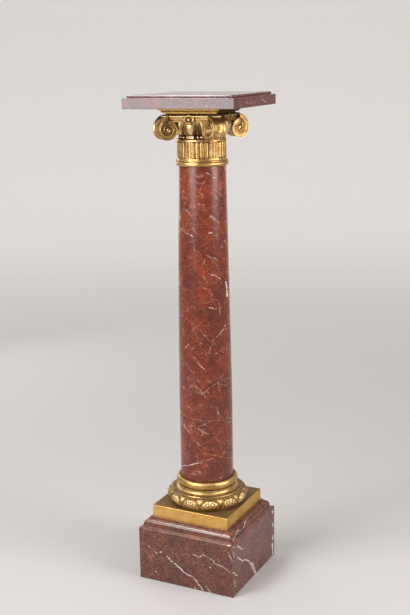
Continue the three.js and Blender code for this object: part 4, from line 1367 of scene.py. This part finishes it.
BLOCK_LEDGE_PALE = (
    (2.2, 0.9, (112, -100, 132), (109, -72, 140), (111, -42, 137), (107, -20, 144)),
    (3.0, 0.8, (110, -121, 127), (121, -114, 123)),
)
BLOCK_RIGHT_OCHRE = ((9.0, 0.5, (-16, 36), (-5, 18), (5, 2)),)
SLAB_PALE = (
    (1.4, 0.7, (134, -60, 1106), (130, -20, 1100)),
    (1.6, 0.7, (126, 40, 1110), (124, 70, 1098)),
    (1.4, 0.8, (96, 141, 1104), (31, 137, 1098), (8, 136, 1112)),
    (1.5, 0.8, (-127, 58, 1110), (-130, 12, 1097)),
    (1.8, 0.9, (-92, 71, 1120), (-48, 31, 1120), (-31, 22, 1120), (27, -64, 1120)),
    (1.4, 0.8, (44, 96, 1120), (88, 63, 1120)),
)


def on_shaft(degrees, z):
    return degrees, 0.0, z


def on_front(x, z):
    return x, -BLOCK_HALF, z


def on_right(y, z):
    return BLOCK_HALF, y, z


def on_back(x, z):
    return x, BLOCK_HALF, z


def on_left(y, z):
    return -BLOCK_HALF, y, z


def in_place(x, y, z):
    return x, y, z


# The column

make_camera()
make_studio()

vein_group = stroke_group()
block_veins = (vein_strokes(BLOCK_FRONT_PALE, on_front) + vein_strokes(BLOCK_RIGHT_PALE, on_right)
               + vein_strokes(BLOCK_BACK_PALE, on_back) + vein_strokes(BLOCK_LEFT_PALE, on_left)
               + vein_strokes(BLOCK_LEDGE_PALE, in_place))
shaft_marble = polished_marble(
    "polished_marble_shaft", vein_group, vein_strokes(SHAFT_PALE, on_shaft),
    vein_strokes(SHAFT_OCHRE, on_shaft), SHAFT_TONES, grain=0.36, line_share=1.0,
    roughness=0.26, unrolled=True)
block_marble = polished_marble(
    "polished_marble_block", vein_group, block_veins, vein_strokes(BLOCK_RIGHT_OCHRE, on_right),
    BLOCK_TONES, grain=0.45, line_share=0.5, roughness=0.15)
slab_marble = polished_marble(
    "polished_marble_slab", vein_group, vein_strokes(SLAB_PALE, in_place), [], SLAB_TONES,
    grain=0.5, line_share=0.5, roughness=0.12)
matt_gilding = gilt_bronze("gilt_bronze_matt", GILT, WARM_GILT, 0.4, 0.85)
burnished_gilding = gilt_bronze("gilt_bronze_burnished", GILT, WARM_GILT, 0.38, 0.6)
chased_gilding = gilt_bronze("gilt_bronze_chased", GILT, WARM_GILT, 0.48, 0.8)
plinth_gilding = gilt_bronze("gilt_bronze_brushed", BRIGHT_GILT, PLAIN_GILT, 0.45, 0.85)
# Darker, duller gilding for the riser and plate: part their finish, part painted shade from the
# slab above
dull_shaded_gilding = gilt_bronze("gilt_bronze_dull_shaded", WARM_GILT, WARM_GILT, 0.5, 0.95)

copies = copies_tree()
make_block(block_marble)
make_plinth(plinth_gilding)
make_base_leaves(copies, matt_gilding)
make_base_mouldings(burnished_gilding)
make_shaft(shaft_tree(), shaft_marble)
make_collar_mouldings(burnished_gilding)
make_drum(copies, chased_gilding)
make_bead_row(copies, matt_gilding)
make_echinus(copies, matt_gilding)
make_canalis(matt_gilding)
make_abacus(matt_gilding)
make_riser(dull_shaded_gilding)
make_volutes(copies, matt_gilding)
make_flowers(copies, matt_gilding)
make_capital_plate(dull_shaded_gilding)
make_slab(slab_marble)
